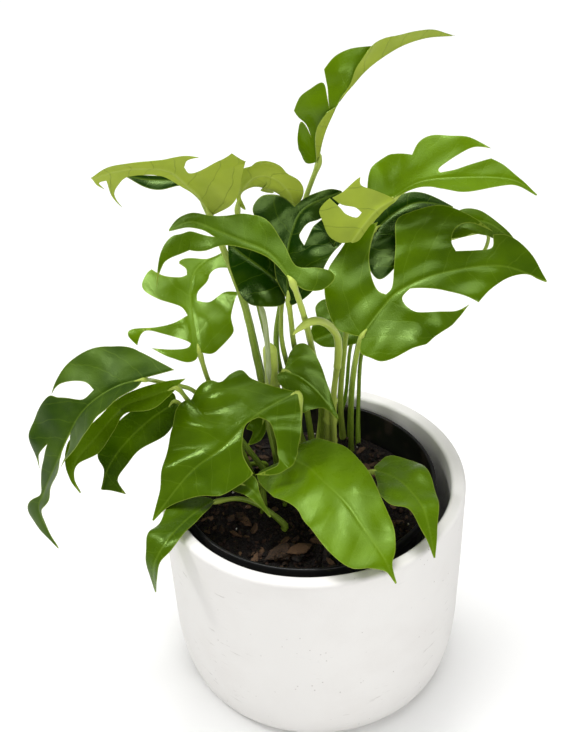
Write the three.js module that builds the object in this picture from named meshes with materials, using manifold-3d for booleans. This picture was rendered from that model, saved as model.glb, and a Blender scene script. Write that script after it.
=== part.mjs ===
// A potted mini monstera: a white mineral cover pot, a black nursery pot inside it, potting mix,
// and a young split-leaved plant. Millimetres, +Z up, origin at the centre of the pot's flat base,
// front of the plant towards -Y.
import * as THREE from "three";
import { mergeVertices } from "three/addons/utils/BufferGeometryUtils.js";
import { TessellateModifier } from "three/addons/modifiers/TessellateModifier.js";
import Module from "manifold-3d";

const wasm = await Module();
wasm.setup();

// cover pot
const POT_HEIGHT = 143;
const POT_RIM_RADIUS = 95;
const POT_WALL = 9;
const POT_CORNER_HEIGHT = 52; // where the rounded foot meets the wall
const POT_CORNER_RADIUS = 91;
const POT_BASE_RADIUS = 78;
const POT_FLOOR = 12;
const POT_EDGE = 2.5; // rounding of the rim
const POT_INNER_CORNER = 13; // radius of the rounded corner between wall and floor inside

// nursery pot, pushed to the front left of the cover pot
const NURSERY_X = -3;
const NURSERY_Y = 4;
const NURSERY_RIM_Z = 138;
const NURSERY_RIM_RADIUS = 80;
const NURSERY_TOP_RADIUS = 77.5;
const NURSERY_BASE_RADIUS = 62;
const NURSERY_WALL = 1.4;
const NURSERY_BAND = 6; // height of the thicker rim band
const NURSERY_STEP_DEPTH = 12; // how far below the rim the second inside step lies
const NURSERY_FLOOR = 2;
const DRAIN_RADIUS = 5;
const DRAIN_CIRCLE = 38;
const DRAINS = 4;

const SOIL_TOP = 119.6;
const MIX_CLEARANCE = 1.3;
const MIX_EDGE = 2; // the mix falls away this much at the wall
const GAP = 0.35; // clearance between pieces that touch
const LEAF_THICKNESS = 1;
const LEAF_EDGE = 15; // longest triangle edge on a leaf
const LIFT_SPAN = 50; // width in mm over which a lift pair runs from its first to its second angle
const LATHE_STEPS = 48;

const COLOURS = {
  bright: "#5d8a0c",
  mid: "#4a7a10",
  deep: "#356a12",
  dark: "#1f3d05",
  underside: "#a3b54e",
  papery: "#c9cba6",
  stalk: "#6f8f22",
  mineral: "#eeedeb",
  plastic: "#111111",
  mix: "#1c1410",
  bark: "#5c4436",
};

const plant = new THREE.Group();

function add(name, geometry, colour, roughness = 0.5) {
  const material = new THREE.MeshStandardMaterial({ color: colour, roughness, metalness: 0 });
  const mesh = new THREE.Mesh(geometry, material);
  mesh.name = name;
  plant.add(mesh);
  return mesh;
}

function manifoldOf(geometry) {
  const bare = new THREE.BufferGeometry();
  bare.setAttribute("position", geometry.getAttribute("position"));
  if (geometry.index) bare.setIndex(geometry.index);
  const merged = mergeVertices(bare, 1e-3);
  const mesh = new wasm.Mesh({
    numProp: 3,
    vertProperties: merged.attributes.position.array,
    triVerts: new Uint32Array(merged.index.array),
  });
  return new wasm.Manifold(mesh);
}

function geometryOf(manifold) {
  const { vertProperties, triVerts } = manifold.getMesh();
  const geometry = new THREE.BufferGeometry();
  geometry.setAttribute("position", new THREE.BufferAttribute(vertProperties, 3));
  geometry.setIndex(new THREE.BufferAttribute(triVerts, 1));
  return geometry;
}

// A closed ring of [radius, z] points turned about +Z.
function turned(points, steps = LATHE_STEPS) {
  const profile = points.map(([radius, z]) => new THREE.Vector2(radius, z));
  return new THREE.LatheGeometry(profile, steps).rotateX(Math.PI / 2);
}

// Points of a quarter ellipse about (radius, z), from angle a to angle b in degrees.
function arc(radius, z, wide, high, a, b, steps) {
  return Array.from({ length: steps + 1 }, (_, i) => {
    const angle = THREE.MathUtils.degToRad(a + ((b - a) * i) / steps);
    return [radius + wide * Math.cos(angle), z + high * Math.sin(angle)];
  });
}

// ---- pots and potting mix

function coverPot() {
  const inner = POT_RIM_RADIUS - POT_WALL;
  const cornerWide = POT_CORNER_RADIUS - POT_BASE_RADIUS;
  const rim = POT_HEIGHT - POT_EDGE;
  const innerFoot = POT_BASE_RADIUS - POT_WALL;
  return turned([
    [0, 0],
    ...arc(POT_BASE_RADIUS, POT_CORNER_HEIGHT, cornerWide, POT_CORNER_HEIGHT, -90, 0, 5),
    ...arc(POT_RIM_RADIUS - POT_EDGE, rim, POT_EDGE, POT_EDGE, 0, 90, 2),
    ...arc(inner + POT_EDGE, rim, POT_EDGE, POT_EDGE, 90, 180, 2),
    ...arc(innerFoot, POT_CORNER_HEIGHT, POT_INNER_CORNER, POT_CORNER_HEIGHT - POT_FLOOR, 0, -90, 4),
    [0, POT_FLOOR],
  ]);
}

function nurseryPot() {
  const floor = POT_FLOOR + GAP;
  const inside = NURSERY_TOP_RADIUS - NURSERY_WALL;
  const band = NURSERY_RIM_Z - NURSERY_BAND;
  const step = NURSERY_RIM_Z - NURSERY_STEP_DEPTH;
  const shell = turned([
    [0, floor],
    [NURSERY_BASE_RADIUS, floor],
    [NURSERY_TOP_RADIUS, band - 1],
    [NURSERY_RIM_RADIUS, band],
    [NURSERY_RIM_RADIUS, NURSERY_RIM_Z],
    [inside + 1.4, NURSERY_RIM_Z],
    [inside + 1.4, band], // two small steps run round the inside below the rim
    [inside + 0.7, band - 0.7],
    [inside + 0.5, step],
    [inside - 0.6, step - 0.8],
    [NURSERY_BASE_RADIUS - NURSERY_WALL, floor + NURSERY_FLOOR],
    [0, floor + NURSERY_FLOOR],
  ]);
  let pot = manifoldOf(shell);
  for (let i = 0; i < DRAINS; i++) {
    const angle = (i + 0.5) * ((2 * Math.PI) / DRAINS);
    const hole = new THREE.CylinderGeometry(DRAIN_RADIUS, DRAIN_RADIUS, 10, 10).rotateX(Math.PI / 2);
    hole.translate(DRAIN_CIRCLE * Math.cos(angle), DRAIN_CIRCLE * Math.sin(angle), floor);
    pot = pot.subtract(manifoldOf(hole));
  }
  return geometryOf(pot);
}

// The mix fills the nursery pot, clear of its sloping wall.
function pottingMix() {
  const bottom = POT_FLOOR + GAP + NURSERY_FLOOR + GAP;
  const slope = (NURSERY_TOP_RADIUS - NURSERY_BASE_RADIUS) / (NURSERY_RIM_Z - NURSERY_BAND - POT_FLOOR);
  const foot = NURSERY_BASE_RADIUS - NURSERY_WALL - MIX_CLEARANCE;
  return turned([
    [0, bottom],
    [foot, bottom],
    [foot + slope * (SOIL_TOP - MIX_EDGE / 2 - bottom), SOIL_TOP - MIX_EDGE / 2],
    [foot - MIX_EDGE + slope * (SOIL_TOP - bottom), SOIL_TOP],
    [0, SOIL_TOP],
  ]);
}

// Bark chips that lie on the mix: [x, y, length, width, thickness, turn in degrees]
const CHIPS = [
  [-10, -38, 17, 9, 3.5, 25],
  [6, -45, 13, 8, 3, -50],
  [38, 46, 15, 8, 3.5, -20],
];

function barkChip([x, y, length, width, thick, turn], index) {
  const chip = new THREE.DodecahedronGeometry(1, 0).scale(length / 2, width / 2, thick / 2);
  const mesh = add("bark_chip_" + (index + 1), mergeVertices(chip), COLOURS.bark, 0.9);
  mesh.position.set(x, y, SOIL_TOP + GAP + thick / 2);
  mesh.rotation.z = THREE.MathUtils.degToRad(turn);
}

// ---- leaves
// A leaf's midrib is a smooth curve. At each place along it, face is the way its upper side looks
// (from base to tip), and the blade runs out to the left and right of it, rising by an angle: a
// lift pair [a, b] starts at a degrees by the midrib and reaches b degrees LIFT_SPAN out, first at
// the base and then towards the tip. left and right are the margin, as [along, out] in mm from
// the base; a third value 1 marks a pointed lobe end or the inner end of a split.

const LEAVES = [
  {
    name: "leaf_top",
    green: "bright",
    midrib: [
      [10, 58, 334], [13, 55, 350], [18, 53, 365], [25, 54, 377], [39, 60, 391],
      [56, 70, 398], [73, 80, 399], [91, 90, 395],
    ],
    face: [[-0.6, -0.75, 0.2], [-0.3, -0.55, 0.75]],
    leftLift: [[10, 30], [40, 60]],
    rightLift: [[103, 103], [97, 97]],
    left: [
      [0, 0.5], [-4, 7], [3, 13, 1], [13, 15], [22, 15], [15, 7, 1], [21, 12], [24, 17],
      [27, 21, 1], [35, 21], [41, 18], [47, 14], [43, 8], [38, 3, 1], [46, 10], [53, 18, 1],
      [61, 18], [68, 15], [77, 9], [84, 5.5], [100, 3.5], [129, 0.5],
    ],
    right: [
      [0, 0.5], [14, 4], [27, 8], [37, 5.5, 1], [41, 0.5], [46, 1.5, 1], [55, 2.5], [65, 9],
      [73, 15], [82, 13], [97, 9], [112, 6], [129, 0.5],
    ],
  },
  {
    name: "leaf_upper_right",
    green: "bright",
    midrib: [[53, 44, 317], [69, 48, 324], [92, 48, 326], [121, 47, 324], [136, 40, 317]],
    face: [[-0.3, -0.45, 0.85], [0.25, -0.5, 0.8]],
    leftLift: [[5, 10], [5, 10]],
    rightLift: [[35, 35], [20, 10]],
    left: [
      [0, 0.5], [-12, 6], [-10, 14], [-2, 24], [9, 25], [13, 23], [18, 18, 1], [22, 25],
      [28, 28], [37, 27], [48, 25], [59, 18, 1], [50, 19], [41, 15], [32, 9], [29, 6],
      [30, 4, 1], [38, 5], [47, 8], [59, 12, 1], [65, 9], [74, 3], [88, 0.5],
    ],
    right: [
      [0, 0.5], [10, 3.5], [23, 7], [29, 10], [40, 15], [58, 9], [72, 4], [82, 2], [88, 0.5],
    ],
  },
  {
    name: "leaf_curled",
    green: "underside",
    midrib: [[53, 36, 321], [43, 30, 318], [34, 27, 308], [28, 26, 299]],
    face: [[0.2, 0.95, -0.1], [0.2, 0.95, -0.2]],
    leftLift: [[0, 0], [0, 0]],
    rightLift: [[0, -10], [0, -10]],
    left: [
      [0, 0.5], [7, 8], [11, 16], [10, 21, 1], [16, 21], [22, 24, 1], [22, 17], [19, 10],
      [19, 5.5, 1], [23, 6], [25, 12], [24, 17], [23, 25, 1], [30, 26], [34, 23], [41, 14],
      [41, 5.5], [37, 0.5],
    ],
    right: [
      [0, 0.5], [2, 2], [13, 3.5], [22, 3], [33, 3], [37, 0.5],
    ],
  },
  {
    name: "leaf_right",
    green: "deep",
    midrib: [
      [31, -12, 259], [43, 1, 268], [55, 10, 275], [79, 20, 279], [114, 27, 278],
      [142, 25, 267],
    ],
    face: [[-0.2, -0.5, 0.84], [0.3, -0.5, 0.8]],
    leftLift: [[6, 12], [6, 10]],
    rightLift: [[0, -20], [0, -20]],
    left: [
      [0, 0.5], [-2, 6], [-3, 16], [6, 28], [18, 38], [29, 41], [35, 44], [45, 42, 1], [37, 32],
      [32, 21], [28, 9], [29, 3.5, 1], [35, 5.5], [46, 23], [52, 38], [59, 41], [73, 40],
      [86, 32], [96, 21, 1], [86, 27], [78, 25], [74, 17], [75, 11, 1], [86, 10], [95, 11],
      [96, 19, 1], [103, 19], [116, 12], [129, 0.5],
    ],
    right: [
      [0, 0.5], [-8, 5], [-8, 13], [-5, 20], [8, 28], [23, 34], [57, 32], [75, 22, 1],
      [64, 24], [45, 20], [34, 14], [34, 5], [42, 2, 1], [53, 7], [70, 15], [81, 22, 1],
      [91, 15], [103, 8], [116, 0.5], [124, 0.5], [129, 0.5],
    ],
  },
  {
    name: "leaf_behind_right",
    green: "dark",
    midrib: [[42, 52, 289], [55, 62, 295], [70, 68, 298], [90, 68, 294]],
    face: [[-0.1, -0.5, 0.86], [0.2, -0.5, 0.84]],
    leftLift: [[0, 10], [0, 10]],
    rightLift: [[0, -10], [0, -10]],
    left: [
      [0, 0.5], [3, 6], [17, 9], [29, 8], [35, 7], [46, 4], [55, 0.5],
    ],
    right: [
      [0, 0.5], [-17, 12], [-20, 25], [-3, 25], [33, 19], [55, 0.5],
    ],
  },
  {
    name: "leaf_far_right",
    green: "dark",
    midrib: [[85, 44, 288], [96, 53, 293], [109, 54, 291], [119, 49, 286], [128, 43, 279]],
    face: [[0, -0.5, 0.86], [0.3, -0.5, 0.8]],
    leftLift: [[0, 10], [0, 10]],
    rightLift: [[10, 10], [10, 10]],
    left: [
      [0, 0.5], [9, 5.5], [16, 8], [24, 7], [32, 4], [42, 3], [54, 0.5],
    ],
    right: [
      [0, 0.5], [2, 3.5], [10, 9], [29, 10], [46, 6], [54, 0.5],
    ],
  },
  {
    name: "leaf_low_right",
    green: "dark",
    midrib: [[32, 66, 214], [20, 62, 211], [4, 59, 206]],
    face: [[0, -0.5, 0.86], [-0.2, -0.5, 0.84]],
    leftLift: [[0, 10], [0, 10]],
    rightLift: [[0, -10], [0, -10]],
    left: [
      [0, 0.5], [1, 12], [13, 12], [25, 7], [30, 0.5],
    ],
    right: [
      [0, 0.5], [4, 17], [13, 24], [21, 22], [23, 14, 1], [29, 7], [30, 0.5],
    ],
  },
  {
    name: "leaf_upper_left",
    green: "underside",
    midrib: [
      [-53, 48, 307], [-59, 48, 321], [-65, 46, 330], [-74, 42, 342], [-88, 38, 347],
      [-103, 38, 346], [-119, 42, 339],
    ],
    face: [[0.1, 0.9, 0.4], [0, 0.9, 0.4]],
    leftLift: [[0, -10], [0, -10]],
    rightLift: [[0, -30], [0, -30]],
    left: [
      [0, 0.5], [2, 10], [7, 20], [17, 31], [25, 41], [34, 43], [38, 44, 1], [36, 32], [34, 18],
      [34, 7], [39, 8, 1], [41, 14], [40, 22, 1], [43, 17], [48, 8], [55, 5.5], [65, 5.5],
      [76, 4.5], [91, 0.5],
    ],
    right: [
      [0, 0.5], [9, 1.5], [20, 3.5], [32, 5.5], [53, 8], [69, 7, 1], [77, 10], [87, 17],
      [89, 29, 1], [89, 17], [85, 6, 1], [90, 6], [90, 12, 1], [92, 7], [91, 0.5],
    ],
  },
  {
    name: "leaf_upper_left_back",
    green: "dark",
    midrib: [[-62, 58, 322], [-73, 57, 326], [-88, 56, 328], [-101, 55, 332]],
    face: [[0, -0.5, 0.86], [0, -0.5, 0.86]],
    leftLift: [[0, -20], [0, -20]],
    rightLift: [[10, 10], [10, 10]],
    left: [
      [0, 0.5], [9, 2.5], [20, 6], [29, 5], [41, 0.5],
    ],
    right: [
      [0, 0.5], [6, 3], [18, 3], [30, 2.5], [41, 0.5],
    ],
  },
  {
    name: "leaf_arching",
    green: "underside",
    midrib: [
      [-38, 60, 306], [-35, 56, 319], [-27, 52, 330], [-17, 50, 331], [-8, 52, 321],
      [-4, 56, 306],
    ],
    face: [[0, 0.9, 0.4], [0.1, 0.9, 0.4]],
    leftLift: [[0, 0], [0, 0]],
    rightLift: [[0, -20], [0, -20]],
    left: [
      [0, 0.5], [-3, 5.5], [9, 1], [19, 6], [30, 18], [62, 4.5], [69, 0.5],
    ],
    right: [
      [0, 0.5], [9, 2], [27, 10], [31, 9], [34, 14], [37, 14], [43, 8], [50, 10], [60, 7],
      [69, 0.5],
    ],
  },
  {
    name: "leaf_centre_left",
    green: "mid",
    midrib: [
      [-6, -4, 292], [-19, 11, 303], [-36, 19, 308], [-50, 26, 311], [-64, 34, 312],
      [-77, 34, 307],
    ],
    face: [[0.2, -0.5, 0.84], [-0.4, -0.5, 0.77]],
    leftLift: [[-5, -40], [-5, -55]],
    rightLift: [[5, 5], [0, -20]],
    left: [
      [0, 0.5], [12, 1.5], [27, 3], [41, 4], [50, 7], [65, 16], [92, 16], [100, 20],
      [107, 30, 1], [98, 12], [89, 4.5], [81, 5.5], [66, 5.5], [57, 4, 1], [64, 3], [75, 3.5],
      [89, 0.5],
    ],
    right: [
      [0, 0.5], [-7, 3], [-12, 11], [-11, 20], [-6, 22], [1, 16], [9, 7], [22, 10], [34, 17],
      [47, 16], [57, 10], [67, 6], [76, 5.5], [83, 4.5], [89, 0.5],
    ],
  },
  {
    name: "leaf_centre_left_back",
    green: "dark",
    midrib: [[-13, 30, 268], [-25, 40, 274], [-37, 49, 279], [-45, 57, 282]],
    face: [[0, -0.55, 0.83], [-0.3, -0.55, 0.78]],
    leftLift: [[0, -25], [0, -25]],
    rightLift: [[0, 0], [0, 0]],
    left: [
      [0, 0.5], [-8, 7], [-3, 15], [6, 21], [18, 20], [31, 12], [44, 0.5],
    ],
    right: [
      [0, 0.5], [9, 12], [22, 14], [38, 12], [44, 0.5],
    ],
  },
  {
    name: "leaf_centre_back",
    green: "dark",
    midrib: [[-10, 16, 267], [-10, 28, 287], [-6, 38, 301], [2, 46, 311], [24, 53, 317]],
    face: [[-0.1, -0.85, 0.5], [0.1, -0.75, 0.65]],
    leftLift: [[5, 15], [5, 15]],
    rightLift: [[0, 10], [0, 0]],
    left: [
      [0, 0.5], [12, 6], [28, 9], [39, 21], [45, 26], [49, 25], [51, 21], [53, 13], [53, 5, 1],
      [63, 5], [74, 4], [80, 0.5],
    ],
    right: [
      [0, 0.5], [-3, 2.5], [5, 15], [19, 22], [52, 30], [74, 19], [71, 9, 1], [58, 11],
      [42, 10], [34, 9, 1], [39, 5], [44, 5.5], [61, 10], [76, 6], [80, 0.5],
    ],
  },
  {
    name: "leaf_left",
    green: "bright",
    midrib: [
      [-66, 36, 217], [-68, 46, 223], [-71, 67, 235], [-69, 81, 244], [-62, 88, 249],
      [-50, 93, 252],
    ],
    face: [[-0.15, -0.55, 0.82], [-0.1, -0.45, 0.88]],
    leftLift: [[0, -15], [0, -15]],
    rightLift: [[0, 15], [0, 15]],
    left: [
      [0, 0.5], [-4, 3], [-4, 9], [1, 17], [11, 29, 1], [7, 17], [5, 7], [7, 4, 1], [10, 7],
      [18, 19], [23, 31], [16, 38, 1], [23, 42], [26, 39], [24, 25], [24, 11], [26, 3, 1],
      [33, 7], [39, 21], [45, 32], [50, 31], [52, 28, 1], [50, 18], [50, 8], [52, 4, 1],
      [55, 6], [56, 12, 1], [58, 12], [66, 1], [78, 0.5],
    ],
    right: [
      [0, 0.5], [-3, 7], [-1, 13], [7, 23], [19, 24], [36, 32, 1], [39, 22], [33, 12],
      [35, 4, 1], [41, 4.5], [51, 10], [70, 9], [78, 13, 1], [80, 6], [78, 0.5],
    ],
  },
  {
    name: "leaf_far_left",
    green: "deep",
    midrib: [
      [-99, 10, 218], [-113, 10, 214], [-126, 9, 207], [-138, 6, 197], [-147, 2, 183],
      [-157, -2, 163], [-166, -2, 143], [-171, -3, 127], [-161, -13, 104],
    ],
    face: [[-0.2, -0.5, 0.84], [-0.45, -0.6, 0.65], [-0.6, -0.75, 0.3], [-0.5, -0.85, 0.1]],
    leftLift: [[25, 35], [25, 35]],
    rightLift: [[0, -20], [0, -20]],
    left: [
      [0, 0.5], [4, 6], [15, 11], [32, 14], [49, 17], [80, 8, 1], [67, 7], [60, 0.5, 1],
      [75, 0.5], [85, 6], [100, 4.5], [112, 7], [137, 0], [151, 0.5],
    ],
    right: [
      [0, 0.5], [-19, 0.5], [-20, 0.5], [-12, 8], [4, 22], [15, 28], [25, 32], [36, 34],
      [44, 31], [51, 27, 1], [45, 26], [34, 15], [31, 6, 1], [40, 6], [49, 20], [54, 29],
      [71, 31], [85, 27], [97, 10, 1], [90, 15], [77, 12, 1], [91, 10], [103, 5.5], [113, 2],
      [124, 10], [132, 8], [151, 0.5],
    ],
  },
  {
    name: "leaf_far_left_under",
    green: "mid",
    midrib: [
      [-80, 16, 206], [-98, 15, 200], [-114, 15, 193], [-130, 8, 178], [-144, 3, 163],
      [-147, -2, 153], [-143, -8, 145],
    ],
    face: [[-0.2, -0.5, 0.84], [-0.4, -0.65, 0.65], [-0.5, -0.8, 0.3]],
    leftLift: [[0, 10], [0, 10]],
    rightLift: [[10, 20], [10, 20]],
    left: [
      [0, 0.5], [7, 4.5], [19, 8], [38, 4.5], [52, 7], [68, 8], [84, 1.5], [93, 0.5],
      [103, 0.5],
    ],
    right: [
      [0, 0.5], [-7, 3.5, 1], [6, 6], [20, 7], [36, 6], [54, 7], [72, 11], [81, 9], [92, 3],
      [103, 0.5],
    ],
  },
  {
    name: "leaf_far_left_low",
    green: "dark",
    midrib: [[-82, 30, 184], [-99, 25, 175], [-116, 19, 161], [-127, 12, 148], [-132, 6, 136]],
    face: [[-0.2, -0.6, 0.77], [-0.4, -0.75, 0.5]],
    leftLift: [[0, -10], [0, -10]],
    rightLift: [[0, 0], [0, 0]],
    left: [
      [0, 0.5], [2, 8], [18, 14], [37, 10], [50, 10], [66, 9], [73, 17, 1], [74, 7], [76, 0.5],
    ],
    right: [
      [0, 0.5], [0, 7], [17, 11], [39, 13], [58, 11], [64, 2], [76, 0.5],
    ],
  },
  {
    name: "leaf_front_left",
    green: "deep",
    midrib: [
      [-7, 8, 205], [-24, 3, 199], [-37, -3, 193], [-52, -12, 182], [-70, -17, 170],
      [-81, -22, 160], [-98, -30, 140],
    ],
    face: [[-0.1, -0.4, 0.9], [-0.3, -0.55, 0.77], [-0.45, -0.65, 0.6]],
    leftLift: [[-5, -15], [0, -10]],
    rightLift: [[0, -15], [0, -15]],
    left: [
      [0, 0.5], [4, 14], [11, 28], [27, 38], [44, 37], [53, 26, 1], [47, 30], [40, 32],
      [29, 22], [24, 10], [28, 2, 1], [37, 0.5], [45, 6], [51, 13], [53, 25, 1], [60, 25],
      [76, 23], [93, 11], [107, 3], [120, 0.5],
    ],
    right: [
      [0, 0.5], [13, 13], [19, 23], [21, 33], [26, 35], [32, 34], [39, 42], [67, 41], [77, 30],
      [88, 19], [106, 7], [120, 0.5],
    ],
  },
  {
    name: "leaf_front",
    green: "mid",
    midrib: [
      [-13, -7, 166], [-2, -22, 171], [7, -37, 172], [19, -54, 170], [29, -71, 164],
      [39, -86, 156], [43, -93, 150],
    ],
    face: [[0, -0.4, 0.9], [0.2, -0.5, 0.85]],
    leftLift: [[0, -15], [0, -20]],
    rightLift: [[0, -10], [0, -15]],
    left: [
      [0, 0.5], [-7, 5], [-6, 13], [1, 19], [14, 23], [25, 27], [47, 25], [64, 20], [83, 17],
      [97, 10], [108, 0.5],
    ],
    right: [
      [0, 0.5], [-9, 10], [-10, 21], [19, 28], [40, 24], [52, 26], [79, 25], [94, 20],
      [104, 10], [108, 0.5],
    ],
  },
  {
    name: "leaf_front_right",
    green: "mid",
    midrib: [[38, -14, 160], [49, -28, 166], [58, -44, 168], [65, -62, 166], [69, -82, 150]],
    face: [[0.1, -0.4, 0.9], [0.5, -0.6, 0.6]],
    leftLift: [[0, -20], [0, -30]],
    rightLift: [[0, 0], [0, 0]],
    left: [
      [0, 0.5], [-3, 3], [-3, 12], [7, 16], [18, 19], [29, 18], [48, 12], [67, 5.5], [83, 0.5],
    ],
    right: [
      [0, 0.5], [23, 15], [43, 17], [51, 11], [58, 8], [71, 3.5], [83, 0.5],
    ],
  },
  {
    name: "leaf_low_left",
    green: "deep",
    midrib: [[-60, -21, 147], [-74, -37, 149], [-87, -55, 147], [-96, -63, 134], [-97, -63, 112]],
    face: [[-0.3, -0.4, 0.85], [-0.7, -0.7, 0.2]],
    leftLift: [[0, 0], [0, 0]],
    rightLift: [[0, -30], [0, -30]],
    left: [
      [0, 0.5], [10, 4], [31, 7], [47, 6], [57, 3.5], [67, 3.5], [84, 0.5],
    ],
    right: [
      [0, 0.5], [4, 9], [13, 17], [21, 18], [33, 15], [48, 14], [58, 9], [69, 4], [84, 0.5],
    ],
  },
  {
    name: "leaf_small_centre",
    green: "mid",
    midrib: [[-15, 30, 205], [-5, 28, 201], [6, 23, 192], [17, 15, 178]],
    face: [[0.1, -0.75, 0.65], [0.3, -0.7, 0.65]],
    leftLift: [[10, 20], [5, 10]],
    rightLift: [[0, 0], [0, 0]],
    left: [
      [0, 0.5], [0, 4.5], [0, 14], [6, 20], [11, 17], [17, 13], [27, 7], [46, 0.5],
    ],
    right: [
      [0, 0.5], [-3, 4.5], [3, 10], [18, 14], [28, 16], [31, 10], [36, 3], [46, 0.5],
    ],
  },
  {
    name: "leaf_small_low",
    green: "mid",
    midrib: [[-44, -20, 160], [-35, -30, 160], [-26, -37, 146]],
    face: [[0.1, -0.5, 0.85], [0.1, -0.6, 0.8]],
    leftLift: [[0, 0], [0, 0]],
    rightLift: [[0, 0], [0, 0]],
    left: [
      [0, 0.5], [0, 7], [8, 7], [17, 2], [32, 0.5],
    ],
    right: [
      [0, 0.5], [-2, 7], [11, 5.5], [22, 2.5], [32, 0.5],
    ],
  },
  {
    name: "leaf_small_inner",
    green: "mid",
    midrib: [[-28, 16, 180], [-31, 9, 175], [-38, 3, 170]],
    face: [[0, -0.6, 0.8], [0, -0.6, 0.8]],
    leftLift: [[0, 0], [0, 0]],
    rightLift: [[0, 0], [0, 0]],
    left: [
      [0, 0.5], [7, 3], [14, 3.5], [20, 0.5],
    ],
    right: [
      [0, 0.5], [3, 7], [13, 8], [12, 3.5], [20, 0.5],
    ],
  },
];

// The value at share t of the way through evenly spaced rows.
function between(rows, t) {
  const at = THREE.MathUtils.clamp(t, 0, 1) * (rows.length - 1);
  const i = Math.min(Math.floor(at), rows.length - 2);
  return rows[i].map((value, k) => THREE.MathUtils.lerp(value, rows[i + 1][k], at - i));
}

// The place of a leaf point that lies `along` and `out` (left is positive) and `up` in thickness.
function bladePoint(leaf, curve, length, along, out, up) {
  const t = THREE.MathUtils.clamp(along / length, 0, 1);
  const forward = curve.getTangentAt(t);
  const face = new THREE.Vector3(...between(leaf.face, t));
  const over = face.addScaledVector(forward, -face.dot(forward)).normalize();
  const left = new THREE.Vector3().crossVectors(over, forward);
  const [a, b] = between(out > 0 ? leaf.leftLift : leaf.rightLift, t).map(THREE.MathUtils.degToRad);
  const wide = Math.abs(out);
  const bend = (b - a) / LIFT_SPAN || 1e-6;
  const end = a + bend * wide;
  const aside = (Math.sin(end) - Math.sin(a)) / bend;
  const raised = (Math.cos(a) - Math.cos(end)) / bend;
  const point = curve.getPointAt(t).addScaledVector(forward, along - t * length);
  point.addScaledVector(left, Math.sign(out) * (aside - up * Math.sin(end)));
  return point.addScaledVector(over, raised + up * Math.cos(end));
}

// The margin as a closed run of [along, out], smooth between its marked corners.
function margin(side, sign) {
  const runs = [[]];
  for (const [along, out, corner] of side) {
    const point = new THREE.Vector2(along, sign * out);
    runs.at(-1).push(point);
    if (corner) runs.push([point]);
  }
  return runs.flatMap((run, i) => {
    const points = new THREE.SplineCurve(run).getPoints(2 * (run.length - 1));
    return i ? points.slice(1) : points;
  });
}

function leafGeometry(leaf) {
  const curve = new THREE.CatmullRomCurve3(
    leaf.midrib.map((point) => new THREE.Vector3(...point)),
    false,
    "catmullrom",
    0.5,
  );
  const length = curve.getLength();
  const outline = [...margin(leaf.left, 1), ...margin(leaf.right, -1).reverse()];
  const flat = new THREE.ExtrudeGeometry(new THREE.Shape(outline), {
    depth: LEAF_THICKNESS,
    bevelEnabled: false,
  });
  const fine = new TessellateModifier(LEAF_EDGE, 8).modify(flat);
  const place = fine.getAttribute("position");
  for (let i = 0; i < place.count; i++) {
    const up = place.getZ(i) - LEAF_THICKNESS / 2;
    const point = bladePoint(leaf, curve, length, place.getX(i), place.getY(i), up);
    place.setXYZ(i, point.x, point.y, point.z);
  }
  return fine;
}

// ---- stems, petioles and sheaths: round tubes along a route from the top down to the mix

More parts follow.
